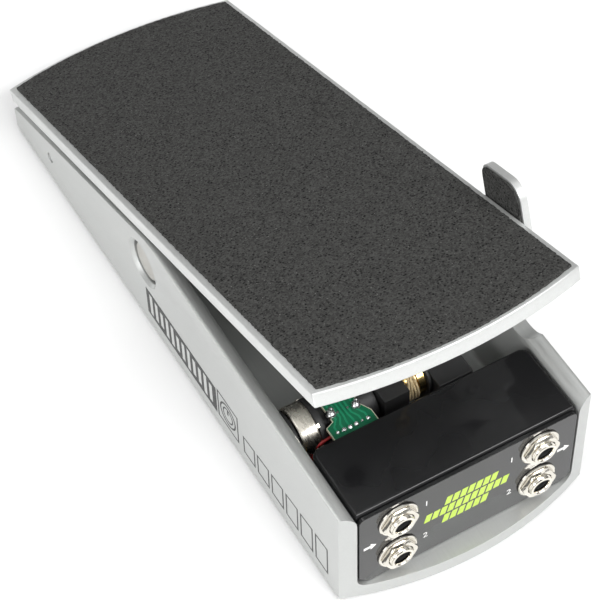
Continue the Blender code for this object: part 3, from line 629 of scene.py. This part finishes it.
def make_jack(side, row):
    """One jack: washer, nut, threaded bushing with its liner, housing and the contacts inside."""
    x, z = (-JACK_X if side == "left" else JACK_X), JACK_ROWS[row]
    turn = at(ALONG_Y, x, 0, z)
    label = f"{side}_{row}"
    body, nut = f"jack_body_{label}", f"jack_nut_{label}"
    seat = PANEL_Y - 0.05

    washer = [(5.05, seat), (7.7, seat), (8.0, seat - 0.25), (7.95, seat - 0.7), (7.6, seat - 1.0)]
    washer += [(6.6, seat - 0.92), (5.05, seat - 0.92)]
    add_piece(f"jack_washer_{label}", turned(washer, turn, True), NICKEL, (nut,))
    face = chamfered_nut(12.7, 4.9, seat - 1.02, seat - 2.8, turn)
    add_piece(f"jack_hex_nut_{label}", face, NICKEL, (nut,))

    mouth, outer = -6.6, 4.72
    lining = mouth + 1.7
    sleeve = [(4.35, 8.0), (4.35, lining), (3.2, lining), (3.2, mouth + 0.9), (3.45, mouth + 0.25)]
    sleeve += [(3.7, mouth), (4.25, mouth), (4.5, mouth + 0.18), (4.5, mouth + 0.5)]
    sleeve += threads(outer, 0.22, mouth + 0.6, -0.6, 0.62)
    sleeve += [(6.6, -0.35), (6.6, 1.1), (4.6, 1.4), (4.6, 8.0)]
    add_piece(f"jack_bushing_{label}", turned(sleeve, turn, True), NICKEL, (body,))
    liner = [(3.2, 8.0), (3.2, lining + 0.05), (4.3, lining + 0.05), (4.3, 8.0)]
    add_piece(f"jack_liner_{label}", turned(liner, turn, True), PLASTIC, (body,))

    width, height, back = 18.0, 14.0, 28.3
    near, rim = 1.3, 0.8
    rings = [(circle(3.35), back - 2.4), (circle(3.35), 8.3), (circle(4.9), 8.2), (circle(4.9), near)]
    rings += [(rectangle(width - 2 * rim, height - 2 * rim), near), (rectangle(width, height), near + rim)]
    rings += [(rectangle(width, height), back - rim), (rectangle(width - 2 * rim, height - 2 * rim), back)]
    shape = loft(rings, turn)
    add_piece(f"jack_housing_{label}", shape, PLASTIC, (body,), smooth=30)

    springs = bmesh.new()
    for sign, reach in ((1, 6.5), (-1, 10.5)):
        path = [(x, reach + 7, z + sign * 3.1), (x, reach + 3, z + sign * 3.0), (x, reach, z + sign * 2.2)]
        path += [(x, reach - 1.6, z + sign * 2.8)]
        tube(smooth_path(path, 5), 0.28, 8, springs)
    add_piece(f"jack_contacts_{label}", springs, BRASS)


# ---- the control


def make_control():
    """The rotary control's standing parts, along the shaft's axis from its rear cap to its nut."""
    turn = at(ALONG_X, 0, SHAFT_Y, SHAFT_Z)
    rear = [(8.2, -45.0), (9.8, -45.0), (10.6, -44.2), (10.6, -42.4), (10.3, -41.9), (8.2, -41.9)]
    rear += [(2.0, -41.9), (2.0, -44.4), (8.2, -44.4)]
    shape = turned(rear, turn, True)
    add_piece("control_rear_disc", shape, PLASTIC, ("control_rear_cap",))
    can = [(2.5, -41.6), (9.6, -41.6), (10.6, -41.25), (11.0, -40.5), (11.0, -35.4), (11.12, -35.1)]
    can += [(11.12, -34.5), (10.9, -34.2), (10.4, -34.2), (10.4, -40.2), (2.5, -40.9)]
    shape = turned(can, turn, True, 72)
    add_piece("control_can_shell", shape, CAN_NICKEL, ("control_can",))

    bore = SHAFT_BORE_R
    wafer = [(bore, -33.9), (10.9, -33.9), (11.0, -33.7), (11.0, -31.6), (10.7, -31.2), (8.2, -31.2)]
    wafer += [(8.0, -30.9), (8.0, -9.0), (7.6, -8.55), (bore, -8.55)]
    shape = turned(wafer, turn, True)
    add_piece("control_wafer", shape, PLASTIC, ("control_front_body",))
    bushing = [(bore, -8.5), (4.7, -8.5)] + threads(4.72, 0.2, -8.4, -4.3, 0.62)
    bushing += [(4.4, -4.1), (bore, -4.1)]
    shape = turned(bushing, turn, True)
    add_piece("control_bushing", shape, NICKEL, ("control_front_body",))
    nut = chamfered_nut(12.5, 5.0, -5.95, -4.1, turn)
    add_piece("control_hex_nut", nut, ZINC, ("control_nut",))
    make_terminals()


def make_terminals():
    """Crimp tabs over the can's rim and the pins that carry the board."""
    tabs = bmesh.new()
    for angle in (35, 125, 215, 305):
        turn = at(ALONG_X, 0, SHAFT_Y, SHAFT_Z) @ Matrix.Rotation(math.radians(angle), 4, "Z")
        prism([(10.3, -0.8), (11.2, -0.7), (11.2, 0.7), (10.3, 0.8)], -34.3, -33.3, turn, tabs)
    add_piece("control_can_tabs", tabs, CAN_NICKEL)
    pins = bmesh.new()
    for x in (-28.5, -25.0, -20.8, -17.3):
        pin = [(0.45, BOARD_TOP - 5.0), (0.45, BOARD_TOP + 0.25)]
        turned(pin, at(ALONG_Z, x, 46.2, 0), sides=10, shape=pins)
    add_piece("control_pins", pins, ZINC)


BOARD_OUTLINE = [
    (-32.0, 33.6), (-30.2, 30.2), (-13.7, 30.2), (-13.7, 41.3), (-15.1, 43.9), (-16.0, 45.5),
    (-16.0, 60.5), (-28.6, 60.5), (-28.6, 43.6), (-32.0, 42.2),
]


def inset(outline, amount):
    """Moves a clockwise or anticlockwise outline's corners inwards."""
    area = sum(a[0] * b[1] - b[0] * a[1] for a, b in zip(outline, outline[1:] + outline[:1]))
    way = 1 if area > 0 else -1
    moved = []
    for i, point in enumerate(outline):
        before, after = outline[i - 1], outline[(i + 1) % len(outline)]
        first = (Vector(point) - Vector(before)).normalized()
        second = (Vector(after) - Vector(point)).normalized()
        normals = Vector((-first.y, first.x)) * way, Vector((-second.y, second.x)) * way
        middle = (normals[0] + normals[1]).normalized()
        reach = amount / max(0.35, middle.dot(normals[0]))
        moved.append((point[0] + middle.x * reach, point[1] + middle.y * reach))
    return moved


def ribbon(points, width, low, high, shape):
    """A flat strip along a path in the XY plane."""
    left, right = [], []
    points = [Vector(p) for p in points]
    for i, point in enumerate(points):
        ahead = points[min(i + 1, len(points) - 1)] - points[max(i - 1, 0)]
        side = Vector((-ahead.y, ahead.x)).normalized() * width / 2
        left.append(tuple(point + side))
        right.append(tuple(point - side))
    prism(left + right[::-1], low, high, ALONG_Z, shape)


def blob(centre, radius, height, shape, seed):
    """A lumpy solder joint standing on the board."""
    sides, rings = 16, []
    for level, share in ((0.0, 1.0), (0.3, 0.92), (0.6, 0.68), (0.85, 0.4), (1.0, 0.14)):
        ring = []
        for i in range(sides):
            angle = 2 * math.pi * i / sides
            across, along = math.cos(angle), math.sin(angle)
            wobble = 1 + 0.22 * noise.noise(Vector((across * 1.3, along * 1.3, seed + level * 2)))
            reach = radius * share * wobble
            rise = BOARD_TOP + level * height
            ring.append(Vector((centre[0] + reach * across, centre[1] + reach * along, rise)))
        rings.append(ring)
    skin(shape, rings)


def make_board():
    """The control's little board: core, mask, traces and solder joints."""
    core = prism(BOARD_OUTLINE, BOARD_TOP - 1.2, BOARD_TOP - 0.09, ALONG_Z)
    add_piece("board_core", core, BOARD_CORE, ("control_board",))
    mask = prism(inset(BOARD_OUTLINE, 0.28), BOARD_TOP - 0.09, BOARD_TOP - 0.02, ALONG_Z)
    add_piece("board_mask", mask, BOARD_MASK, ("control_board",))

    pads = [-29.3 + PAD_PITCH * i for i in range(6)]
    traces = bmesh.new()
    bends = (-27.0, -25.3, -23.8, -22.2, -20.6, -18.2)
    for pad, bend in zip(pads, bends):
        track = [(pad, PAD_Y), (pad, 41.2), (bend, 44.0), (bend, 58.5)]
        ribbon(track, 0.75, BOARD_TOP - 0.03, BOARD_TOP + 0.02, traces)
    add_piece("board_traces", traces, BOARD_TRACE)

    joints = bmesh.new()
    for number, (pad, radius) in enumerate(zip(pads, (0.8, 1.0, 0.95, 1.0, 0.6, 0.9))):
        blob((pad, PAD_Y), radius, 0.7, joints, number)
    for number, (across, along, radius) in enumerate(((-27.4, 46.8, 2.2), (-17.6, 45.9, 1.9))):
        blob((across, along), radius, 1.8, joints, 20 + number)
        blob((across + 0.9, along + 1.6), radius * 0.6, 1.2, joints, 30 + number)
    add_piece("board_solder", joints, SOLDER)


def make_wires():
    """Hookup wires from the board and the control to the jacks under the cover."""
    red = [(-28.0, 40.6, 37.2), (-30.6, 41.0, 34.9), (-35.1, 41.0, 33.8), (-38.4, 41.0, 30.9)]
    red += [(-40.2, 38.5, 26.0), (-41.6, 33.0, 24.0), (-42.0, 24.0, 24.5)]
    yellow = [(-43.4, 42.0, 16.0), (-43.6, 37.0, 26.0), (-43.2, 33.4, 34.5)]
    yellow += [(-42.6, 31.7, 38.0), (-42.4, 27.0, 37.6)]
    black = [(-27.0, 33.0, 37.9), (-29.5, 34.0, 34.0), (-33.0, 35.0, 28.5)]
    black += [(-38.0, 34.0, 23.0), (-40.5, 28.0, 21.0)]
    wires = (("red", red, RED_WIRE), ("yellow", yellow, YELLOW_WIRE), ("black", black, BLACK_WIRE))
    for name, points, finish in wires:
        shape = tube(smooth_path(points), 0.62, 10)
        add_piece(f"hookup_wire_{name}", shape, finish)


# ---- the cord drive


def make_rotor():
    """What turns with the control's shaft: the shaft itself, the brass drum and the collar."""
    turn = at(ALONG_X, 0, SHAFT_Y, SHAFT_Z)
    body, bore = "control_rotor", SHAFT_BORE_R
    shaft = [(SHAFT_R - 0.4, -21.6), (SHAFT_R, -21.2), (SHAFT_R, 26.7), (SHAFT_R - 0.4, 27.1)]
    add_piece("control_spindle", turned(shaft, turn), SHAFT_STEEL, ("control_shaft",), body)
    drum = [(bore, 2.8), (6.5, 2.8), (6.8, 2.95), (6.8, 3.15), (6.0, 3.3)]
    drum += [(6.0, 9.0), (6.8, 9.25), (6.8, 11.95), (6.55, 12.2), (bore, 12.2)]
    add_piece("cord_pulley", turned(drum, turn, True, 72), BRASS, ("cord_drum",), body)
    collar = [(bore, 12.5), (7.2, 12.5), (7.7, 12.9), (7.7, 13.6), (7.4, 14.0), (bore, 14.0)]
    shape = turned(collar, turn, True)
    add_piece("shaft_collar_ring", shape, PLASTIC, ("shaft_collar",), body)


def doubled(path, shape):
    """Two twisted strands that lie side by side, across the chassis, along a path."""
    for side in (-1, 1):
        twisted([point + Vector((side * (STRAND_R + 0.02), 0, 0)) for point in path], shape)


def twisted(path, shape, lay=2.6, count=3):
    """One strand of the cord: fine yarns that wind about a path."""
    guide = tube_rings(path, 1.0, 4)
    length = 0.0
    tracks = [[] for _ in range(count)]
    for index, point in enumerate(path):
        if index:
            length += (point - path[index - 1]).length
        across, up = guide[index][0] - point, guide[index][1] - point
        for number, track in enumerate(tracks):
            angle = 2 * math.pi * (length / lay + number / count)
            track.append(point + STRAND_R * 0.5 * (math.cos(angle) * across + math.sin(angle) * up))
    for track in tracks:
        skin(shape, tube_rings(track, STRAND_R * 0.5, 6))


def straight(start, end, step=0.35):
    count = max(2, int((end - start).length / step))
    return [start + (end - start) * i / count for i in range(count + 1)]


def return_line():
    """Where the cord leaves the drum for the spring, its direction and how steeply it falls."""
    fall = math.atan2(SHAFT_Z - CORD_WRAP_R - CROSS_PIN.z, CROSS_PIN.y - SHAFT_Y)
    direction = Vector((0, math.cos(fall), -math.sin(fall)))
    across = CORD_X + WRAP_TURNS * CORD_PITCH
    start = Vector((across, SHAFT_Y, SHAFT_Z)) + CORD_WRAP_R * Vector((0, -math.sin(fall), -math.cos(fall)))
    return start, direction, fall


def place(point):
    """A point of the layout in the frame's metres."""
    return LAYOUT @ Vector(point)


def make_cord():
    """The doubled cord: up to the treadle, round the drum, and back to the ferrule."""
    _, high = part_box("drive_cord_lift")
    rise = Vector((0, math.sin(CORD_LEAN), math.cos(CORD_LEAN)))
    out = Vector((0, -math.cos(CORD_LEAN), math.sin(CORD_LEAN)))
    start = Vector((CORD_X, SHAFT_Y, SHAFT_Z)) + CORD_WRAP_R * out
    top = (high.z - TOE_MIDDLE.z) / MM + 0.4
    end = start + rise * (top - start.z) / rise.z
    shape = bmesh.new()
    doubled(straight(start, end), shape)
    lift = add_piece("cord_lift_run", shape, FIBRE, ("drive_cord_lift",), None)
    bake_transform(lift)

    begin, direction, fall = return_line()
    turns, steps = WRAP_TURNS + (CORD_LEAN - fall) / (2 * math.pi), 140
    path = []
    for i in range(steps + 1):
        turn = turns * i / steps
        angle = math.pi - CORD_LEAN + 2 * math.pi * turn
        out = Vector((0, math.cos(angle), math.sin(angle)))
        path.append(Vector((CORD_X + CORD_PITCH * turn, SHAFT_Y, SHAFT_Z)) + CORD_WRAP_R * out)
    shape = bmesh.new()
    doubled(path, shape)
    add_piece("cord_turns", shape, FIBRE, ("drive_cord_wrap",))

    finish = begin + direction * CORD_RETURN
    shape = bmesh.new()
    doubled(straight(begin, finish), shape)
    run = add_piece("cord_return_run", shape, FIBRE, ("drive_cord_return",), None)
    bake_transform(run)


def along_line(start, direction):
    """Axes whose Z runs from a start along a direction that has no X."""
    return Matrix.Translation(start) @ Matrix.Rotation(-math.atan2(direction.y, direction.z), 4, "X")


def make_spring():
    """The ferrule on the cord's end, and the coil spring from it to the cross pin."""
    begin, direction, _ = return_line()
    turn = along_line(begin, direction)
    ferrule = [(0.8, 43.0), (1.35, 43.0), (1.7, 43.4), (1.7, 44.6), (1.45, 44.9)]
    ferrule += [(1.45, 46.6), (1.7, 46.9), (1.7, 48.4), (1.3, 49.0), (0.8, 49.0)]
    add_piece("cord_crimp", turned(ferrule, turn, True, 24), BRASS, ("cord_ferrule",), "cord_end")

    wire, radius, first = 0.42, 2.45, 52.5
    reach = (CROSS_PIN - begin).dot(direction)
    last = reach - 7.5
    turns, steps = 62, 12
    coil = []
    for i in range(turns * steps + 1):
        angle = 2 * math.pi * i / steps
        along = first + (last - first) * i / (turns * steps)
        coil.append(turn @ Vector((radius * math.cos(angle), radius * math.sin(angle), along)))
    eye = [turn @ Vector((0.0, 0.0, 48.2)), turn @ Vector((0.3, 0.0, 50.6)), turn @ Vector((1.9, 0.3, 51.8))]
    centre = turn.inverted() @ Vector((begin.x, CROSS_PIN.y, CROSS_PIN.z))
    loop_r = 2.1 + wire + 0.08
    hook = [turn @ Vector((1.7, -0.6, last + 1.0)), turn @ Vector((0.5, -1.6, last + 2.2))]
    for step in range(11):
        angle = math.radians(250 - 300 * step / 10)
        up, along = centre.y + loop_r * math.cos(angle), centre.z + loop_r * math.sin(angle)
        hook.append(turn @ Vector((0.0, up, along)))
    shape = tube(smooth_path(eye + [coil[0]], 4)[:-1] + coil + smooth_path([coil[-1]] + hook, 4)[1:], wire, 7)
    spring = add_piece("return_spring", shape, ZINC, ("tension_spring",), None)
    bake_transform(spring)


# ---- pivot, screws and feet


def make_pivot():
    """The axle, thick in its bushes and thinner between them, and the two bushes."""
    end, step = 50.3, 43.0
    turn = at(ALONG_X, 0, PIVOT_Y, PIVOT_Z)
    half = [(7.9, end), (8.2, end - 0.3), (8.2, step + 0.4), (7.8, step), (5.0, step)]
    profile = [(radius, -x) for radius, x in half] + [(radius, x) for radius, x in reversed(half)]
    shape = turned(profile, turn, sides=64)
    add_piece("pivot_axle_rod", shape, AXLE_ALUMINIUM, ("pivot_axle",), "treadle")
    bush = [(8.3, 45.7), (8.9, 45.7), (9.35, 46.1), (9.35, 49.3), (9.15, 49.6), (8.5, 49.6), (8.3, 49.4)]
    for side, name in ((-1, "axle_bush_left"), (1, "axle_bush_right")):
        shape = turned([(radius, side * x) for radius, x in bush], turn, True, 64)
        add_piece(f"{name}_ring", shape, PLASTIC, (name,))


def socket_screw(head_r, head, shank_r, tip, turn):
    """A button-head screw standing on its axis: its head's top is at 0 and its tip at `tip`."""
    depth = head * 0.62
    rings = [(circle(0.4), depth), (hexagon(2.6), depth), (hexagon(2.6), 0.12), (circle(1.75), 0.0)]
    rings += [(circle(head_r * 0.62), 0.0), (circle(head_r * 0.86), head * 0.2), (circle(head_r), head * 0.6)]
    rings += [(circle(head_r), head), (circle(shank_r), head)]
    shank = threads(shank_r, 0.22, head + 0.5, tip - 0.4, 0.7)
    rings += [(circle(radius), height) for radius, height in shank]
    rings += [(circle(shank_r * 0.6), tip)]
    return loft(rings, turn)


def make_screws():
    """The screws of the chassis and the treadle, and the brass post that holds the cord's end."""
    base_screws = {
        "panel_screw_left": (-22.0, 6.0, 7.9), "panel_screw_right": (22.0, 6.0, 7.9),
        "cover_screw_left": (-36.5, 7.5, 7.7), "cover_screw_right": (36.5, 7.5, 7.7),
        "bracket_screw_front": (-3.0, 46.5, 8.4), "bracket_screw_rear": (-3.0, 58.0, 8.4),
        "bearing_screw": (23.0, 51.3, 13.0),
    }
    for name, (x, y, tip) in base_screws.items():
        shape = socket_screw(3.0, 2.2, 1.6, tip - 0.3, at(ALONG_Z, x, y, 0.3))
        add_piece(f"{name}_button", shape, BLACK_OXIDE, (name,))

    sole = -9.3
    for number, along in ((1, 42.2), (2, 54.9)):
        shape = socket_screw(3.2, 1.6, 2.0, 9.0, at(ALONG_Z, 38.0, along, sole - 1.9))
        name = f"side_tab_screw_{number}"
        add_piece(f"{name}_button", shape, ZINC, (name,), "treadle", TREADLE)
    hanger_head = -12.3
    pivot = (LAYOUT.inverted() @ TREADLE).inverted() @ Vector((0, PIVOT_Y, PIVOT_Z))
    for side, label in ((-1, "left"), (1, "right")):
        for number, step in ((1, -9.0), (2, 9.0)):
            stand = at(ALONG_Z, side * 28.0, pivot.y + step, hanger_head)
            shape = socket_screw(3.6, 2.2, 2.0, 9.4, stand)
            name = f"hanger_screw_{label}_{number}"
            add_piece(f"{name}_button", shape, ZINC, (name,), "treadle", TREADLE)
    low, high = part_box("cord_anchor")
    way = (TREADLE.to_3x3() @ Vector((0, 1, 0))).normalized()
    along = ((low + high) / 2 - TREADLE.translation).dot(way) / MM
    post = [(1.3, -8.9), (1.5, -9.9), (2.5, -9.9), (2.9, -9.6), (3.0, -9.1), (3.0, -8.7), (2.3, -8.4)]
    post += [(2.3, -7.6), (3.0, -7.3), (3.0, -6.1), (2.0, -6.0), (2.0, -2.7)]
    shape = turned(post, at(ALONG_Z, CORD_X, along, 0), sides=32)
    add_piece("cord_anchor_post", shape, BRASS, ("cord_anchor",), "treadle", TREADLE)


def make_feet():
    profile = [(4.6, -1.9), (5.2, -2.5), (7.2, -2.5), (7.8, -2.1), (8.0, -1.5), (8.0, -0.12), (7.9, -0.03)]
    for name in (f"rubber_foot_{number}" for number in range(1, 5)):
        low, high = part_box(name)
        centre = LAYOUT.inverted() @ ((low + high) / 2)
        shape = turned(profile, at(ALONG_Z, centre.x, centre.y, 0))
        add_piece(f"{name}_pad", shape, RUBBER, (name,))


# ---- printed marks, all of them plain shapes


def four_corners(left, low, right, high):
    return [(left, low), (right, low), (right, high), (left, high)]


def frame_outline(outline, shape):
    """A line printed inside an outline on the left wall, as a thin closed frame."""
    inner = inset(outline, SIDE_LINE)
    edges = [(outline, SIDE_BACK), (inner, SIDE_BACK), (inner, SIDE_INK), (outline, SIDE_INK)]
    loft(edges, ALONG_X, True, shape)


def numeral(text, x, z, size):
    """A printed numeral on the jack panel, as a thin solid."""
    curve = bpy.data.curves.new("numeral", "FONT")
    curve.body = text
    curve.size = size
    curve.extrude = 0.012
    curve.resolution_u = 3
    curve.offset = 0.03
    holder = in_scene("numeral", curve)
    mesh = bpy.data.meshes.new_from_object(holder)
    bpy.data.objects.remove(holder)
    shape = bmesh.new()
    shape.from_mesh(mesh)
    bmesh.ops.remove_doubles(shape, verts=shape.verts, dist=1e-5)
    count = len(shape.verts)
    across = sum((v.co.x for v in shape.verts)) / count
    up = sum((v.co.y for v in shape.verts)) / count
    stand = at(Matrix.Rotation(math.pi / 2, 4, "X"), x, PANEL_Y - 0.03, z)
    bmesh.ops.translate(shape, vec=(-across, -up, 0), verts=shape.verts)
    bmesh.ops.transform(shape, matrix=stand, verts=shape.verts)
    return shape


def make_panel_marks():
    """Plain marks on the jack panel: numerals beside the jacks, two arrows and three rows of bars."""
    for side, x in (("left", -17.7), ("right", 17.7)):
        for text, row, z in (("1", "upper", 38.4), ("2", "lower", 18.3)):
            shape = numeral(text, x, z, 4.2)
            add_piece(f"panel_numeral_{side}_{row}", shape, WHITE_INK, smooth=30)

    arrows = bmesh.new()
    for x in (-40.6, 40.4):
        tail, neck, head = x - 2.6, x + 0.2, x + 2.6
        barb = [(neck, 28.0), (neck, 26.9), (head, 28.7), (neck, 30.5), (neck, 29.4)]
        prism([(tail, 28.0)] + barb + [(tail, 29.4)], PRINT_FRONT, PRINT_BACK, ALONG_Y, arrows)
    add_piece("panel_arrows", arrows, WHITE_INK, smooth=30)

    bars = bmesh.new()
    slant = math.tan(math.radians(14))
    half_tall = 2.25
    lean = slant * half_tall
    rows = ((33.4, -9.6, 12.6, 7), (28.0, -18.0, 17.4, 11), (22.6, -10.4, 9.0, 6))
    for z, start, end, count in rows:
        pitch = (end - start) / count
        low, high = z - half_tall, z + half_tall
        for i in range(count):
            left, right = start + i * pitch, start + (i + 0.78) * pitch
            outline = [(left - lean, low), (right - lean, low), (right + lean, high), (left + lean, high)]
            prism(outline, PRINT_FRONT, PRINT_BACK, ALONG_Y, bars)
    add_piece("panel_level_bars", bars, GREEN_INK, smooth=30)


def make_side_marks():
    """Plain marks along the left wall: a dark strip with slats, a dial and a row of outlined bars."""
    strip = prism(four_corners(90.2, 5.9, 146.8, 21.3), SIDE_BACK, SIDE_INK, ALONG_X)
    add_piece("side_strip", strip, BLACK_INK, smooth=30)
    slats = bmesh.new()
    for i in range(12):
        y = 93.4 + 4.4 * i
        tall = 5.2 + 0.9 * math.sin(i * 1.9)
        slat = four_corners(y, 13.6 - tall, y + 2.3, 13.6 + tall)
        prism(slat, SIDE_INK - 0.004, SIDE_FACE - 0.06, ALONG_X, slats)
    add_piece("side_strip_slats", slats, GREY_INK, smooth=30)

    lines = bmesh.new()
    frame_outline(four_corners(73.2, 6.0, 89.2, 22.3), lines)
    dial = at(ALONG_X, 0, 81.2, 14.2)
    for outer, width in ((6.1, 0.9), (3.9, 0.7)):
        ring = [(outer, SIDE_BACK), (outer - width, SIDE_BACK), (outer - width, SIDE_INK), (outer, SIDE_INK)]
        turned(ring, dial, True, 40, lines)
    prism(four_corners(80.7, 14.6, 81.7, 17.2), SIDE_BACK, SIDE_INK, ALONG_X, lines)
    for i in range(6):
        y, tall = 60.6 - 10.6 * i, 11.0 + 1.1 * i
        outline = [(y, 5.8), (y + 8.9, 5.8), (y + 8.9, 5.8 + tall - 0.9), (y, 5.8 + tall)]
        frame_outline(outline, lines)
    add_piece("side_outlines", lines, BLACK_INK, smooth=30)


# ---- stage, lights and camera


def make_floor():
    made = Nodes("pale_floor", roughness=0.9)
    cloud = made.noise(3, 2)
    finish = made.finish(made.ramp(cloud, [(0.3, 0.86), (0.7, 0.88)]))
    mesh = bpy.data.meshes.new("floor")
    reach = 6.0
    corners = [(*corner, 0) for corner in four_corners(-reach, -reach, reach, reach)]
    mesh.from_pydata(corners, [], [(0, 1, 2, 3)])
    mesh.materials.append(finish)
    floor = in_scene("floor", mesh)
    floor.location.z = CAD_BOX[0][2] - 0.0001


def area_light(name, place_at, look_at, size, power):
    light = bpy.data.lights.new(name, "AREA")
    light.shape = "RECTANGLE"
    light.size, light.size_y = size
    light.energy = power
    holder = in_scene(name, light)
    holder.location = place_at
    holder.rotation_euler = (Vector(look_at) - Vector(place_at)).to_track_quat("-Z", "Y").to_euler()


def make_lights():
    """A bright tent, lightest above the toe end and dark at the horizon behind, with a key in front."""
    world = bpy.data.worlds.new("studio")
    world.use_nodes = True
    tree = world.node_tree
    background = tree.nodes["Background"]
    ramp = tree.nodes.new("ShaderNodeValToRGB")
    for stop, position, grey in zip(ramp.color_ramp.elements, (0.0, 0.8), (0.16, 1.15)):
        stop.position = position
        stop.color = (grey, grey, grey, 1.0)
    facing = tree.nodes.new("ShaderNodeVectorMath")
    facing.operation = "DOT_PRODUCT"
    facing.inputs[1].default_value = (-0.2, -0.75, 0.65)
    sky = tree.nodes.new("ShaderNodeTexCoord")
    tree.links.new(sky.outputs["Generated"], facing.inputs[0])
    tree.links.new(facing.outputs["Value"], ramp.inputs["Fac"])
    tree.links.new(ramp.outputs["Color"], background.inputs["Color"])
    background.inputs["Strength"].default_value = 0.8
    bpy.context.scene.world = world
    area_light("overhead", (-0.3, 0.2, 1.7), (0, 0, 0), (1.6, 1.4), 10)
    area_light("front_key", (0.35, -1.0, 1.2), (0, -0.05, 0.04), (1.3, 0.4), 17)
    area_light("left_fill", (-1.4, -0.5, 0.6), (0, 0, 0.03), (0.9, 0.7), 12)
    bpy.context.scene.view_settings.view_transform = "Standard"


def make_camera():
    """The view fitted to the photo."""
    camera = bpy.data.cameras.new("camera")
    camera.sensor_width = 36.0
    camera.lens = 128.1
    camera.shift_x, camera.shift_y = -0.0200, -0.0312
    camera.clip_start = 0.01
    holder = in_scene("camera", camera)
    turn = Matrix.Rotation(math.radians(-28.923), 4, "Z") @ Matrix.Rotation(math.radians(38.787), 4, "X")
    turn = turn @ Matrix.Rotation(math.radians(-1.592), 4, "Z")
    holder.matrix_world = Matrix.Translation(place((-245.98, -337.53, 665.83))) @ turn
    bpy.context.scene.camera = holder


make_camera()
make_body()
make_grip_tape()
for jack_side in ("left", "right"):
    for jack_row in JACK_ROWS:
        make_jack(jack_side, jack_row)
make_control()
make_board()
make_wires()
make_rotor()
make_cord()
make_spring()
make_pivot()
make_screws()
make_feet()
make_panel_marks()
make_side_marks()
make_floor()
make_lights()
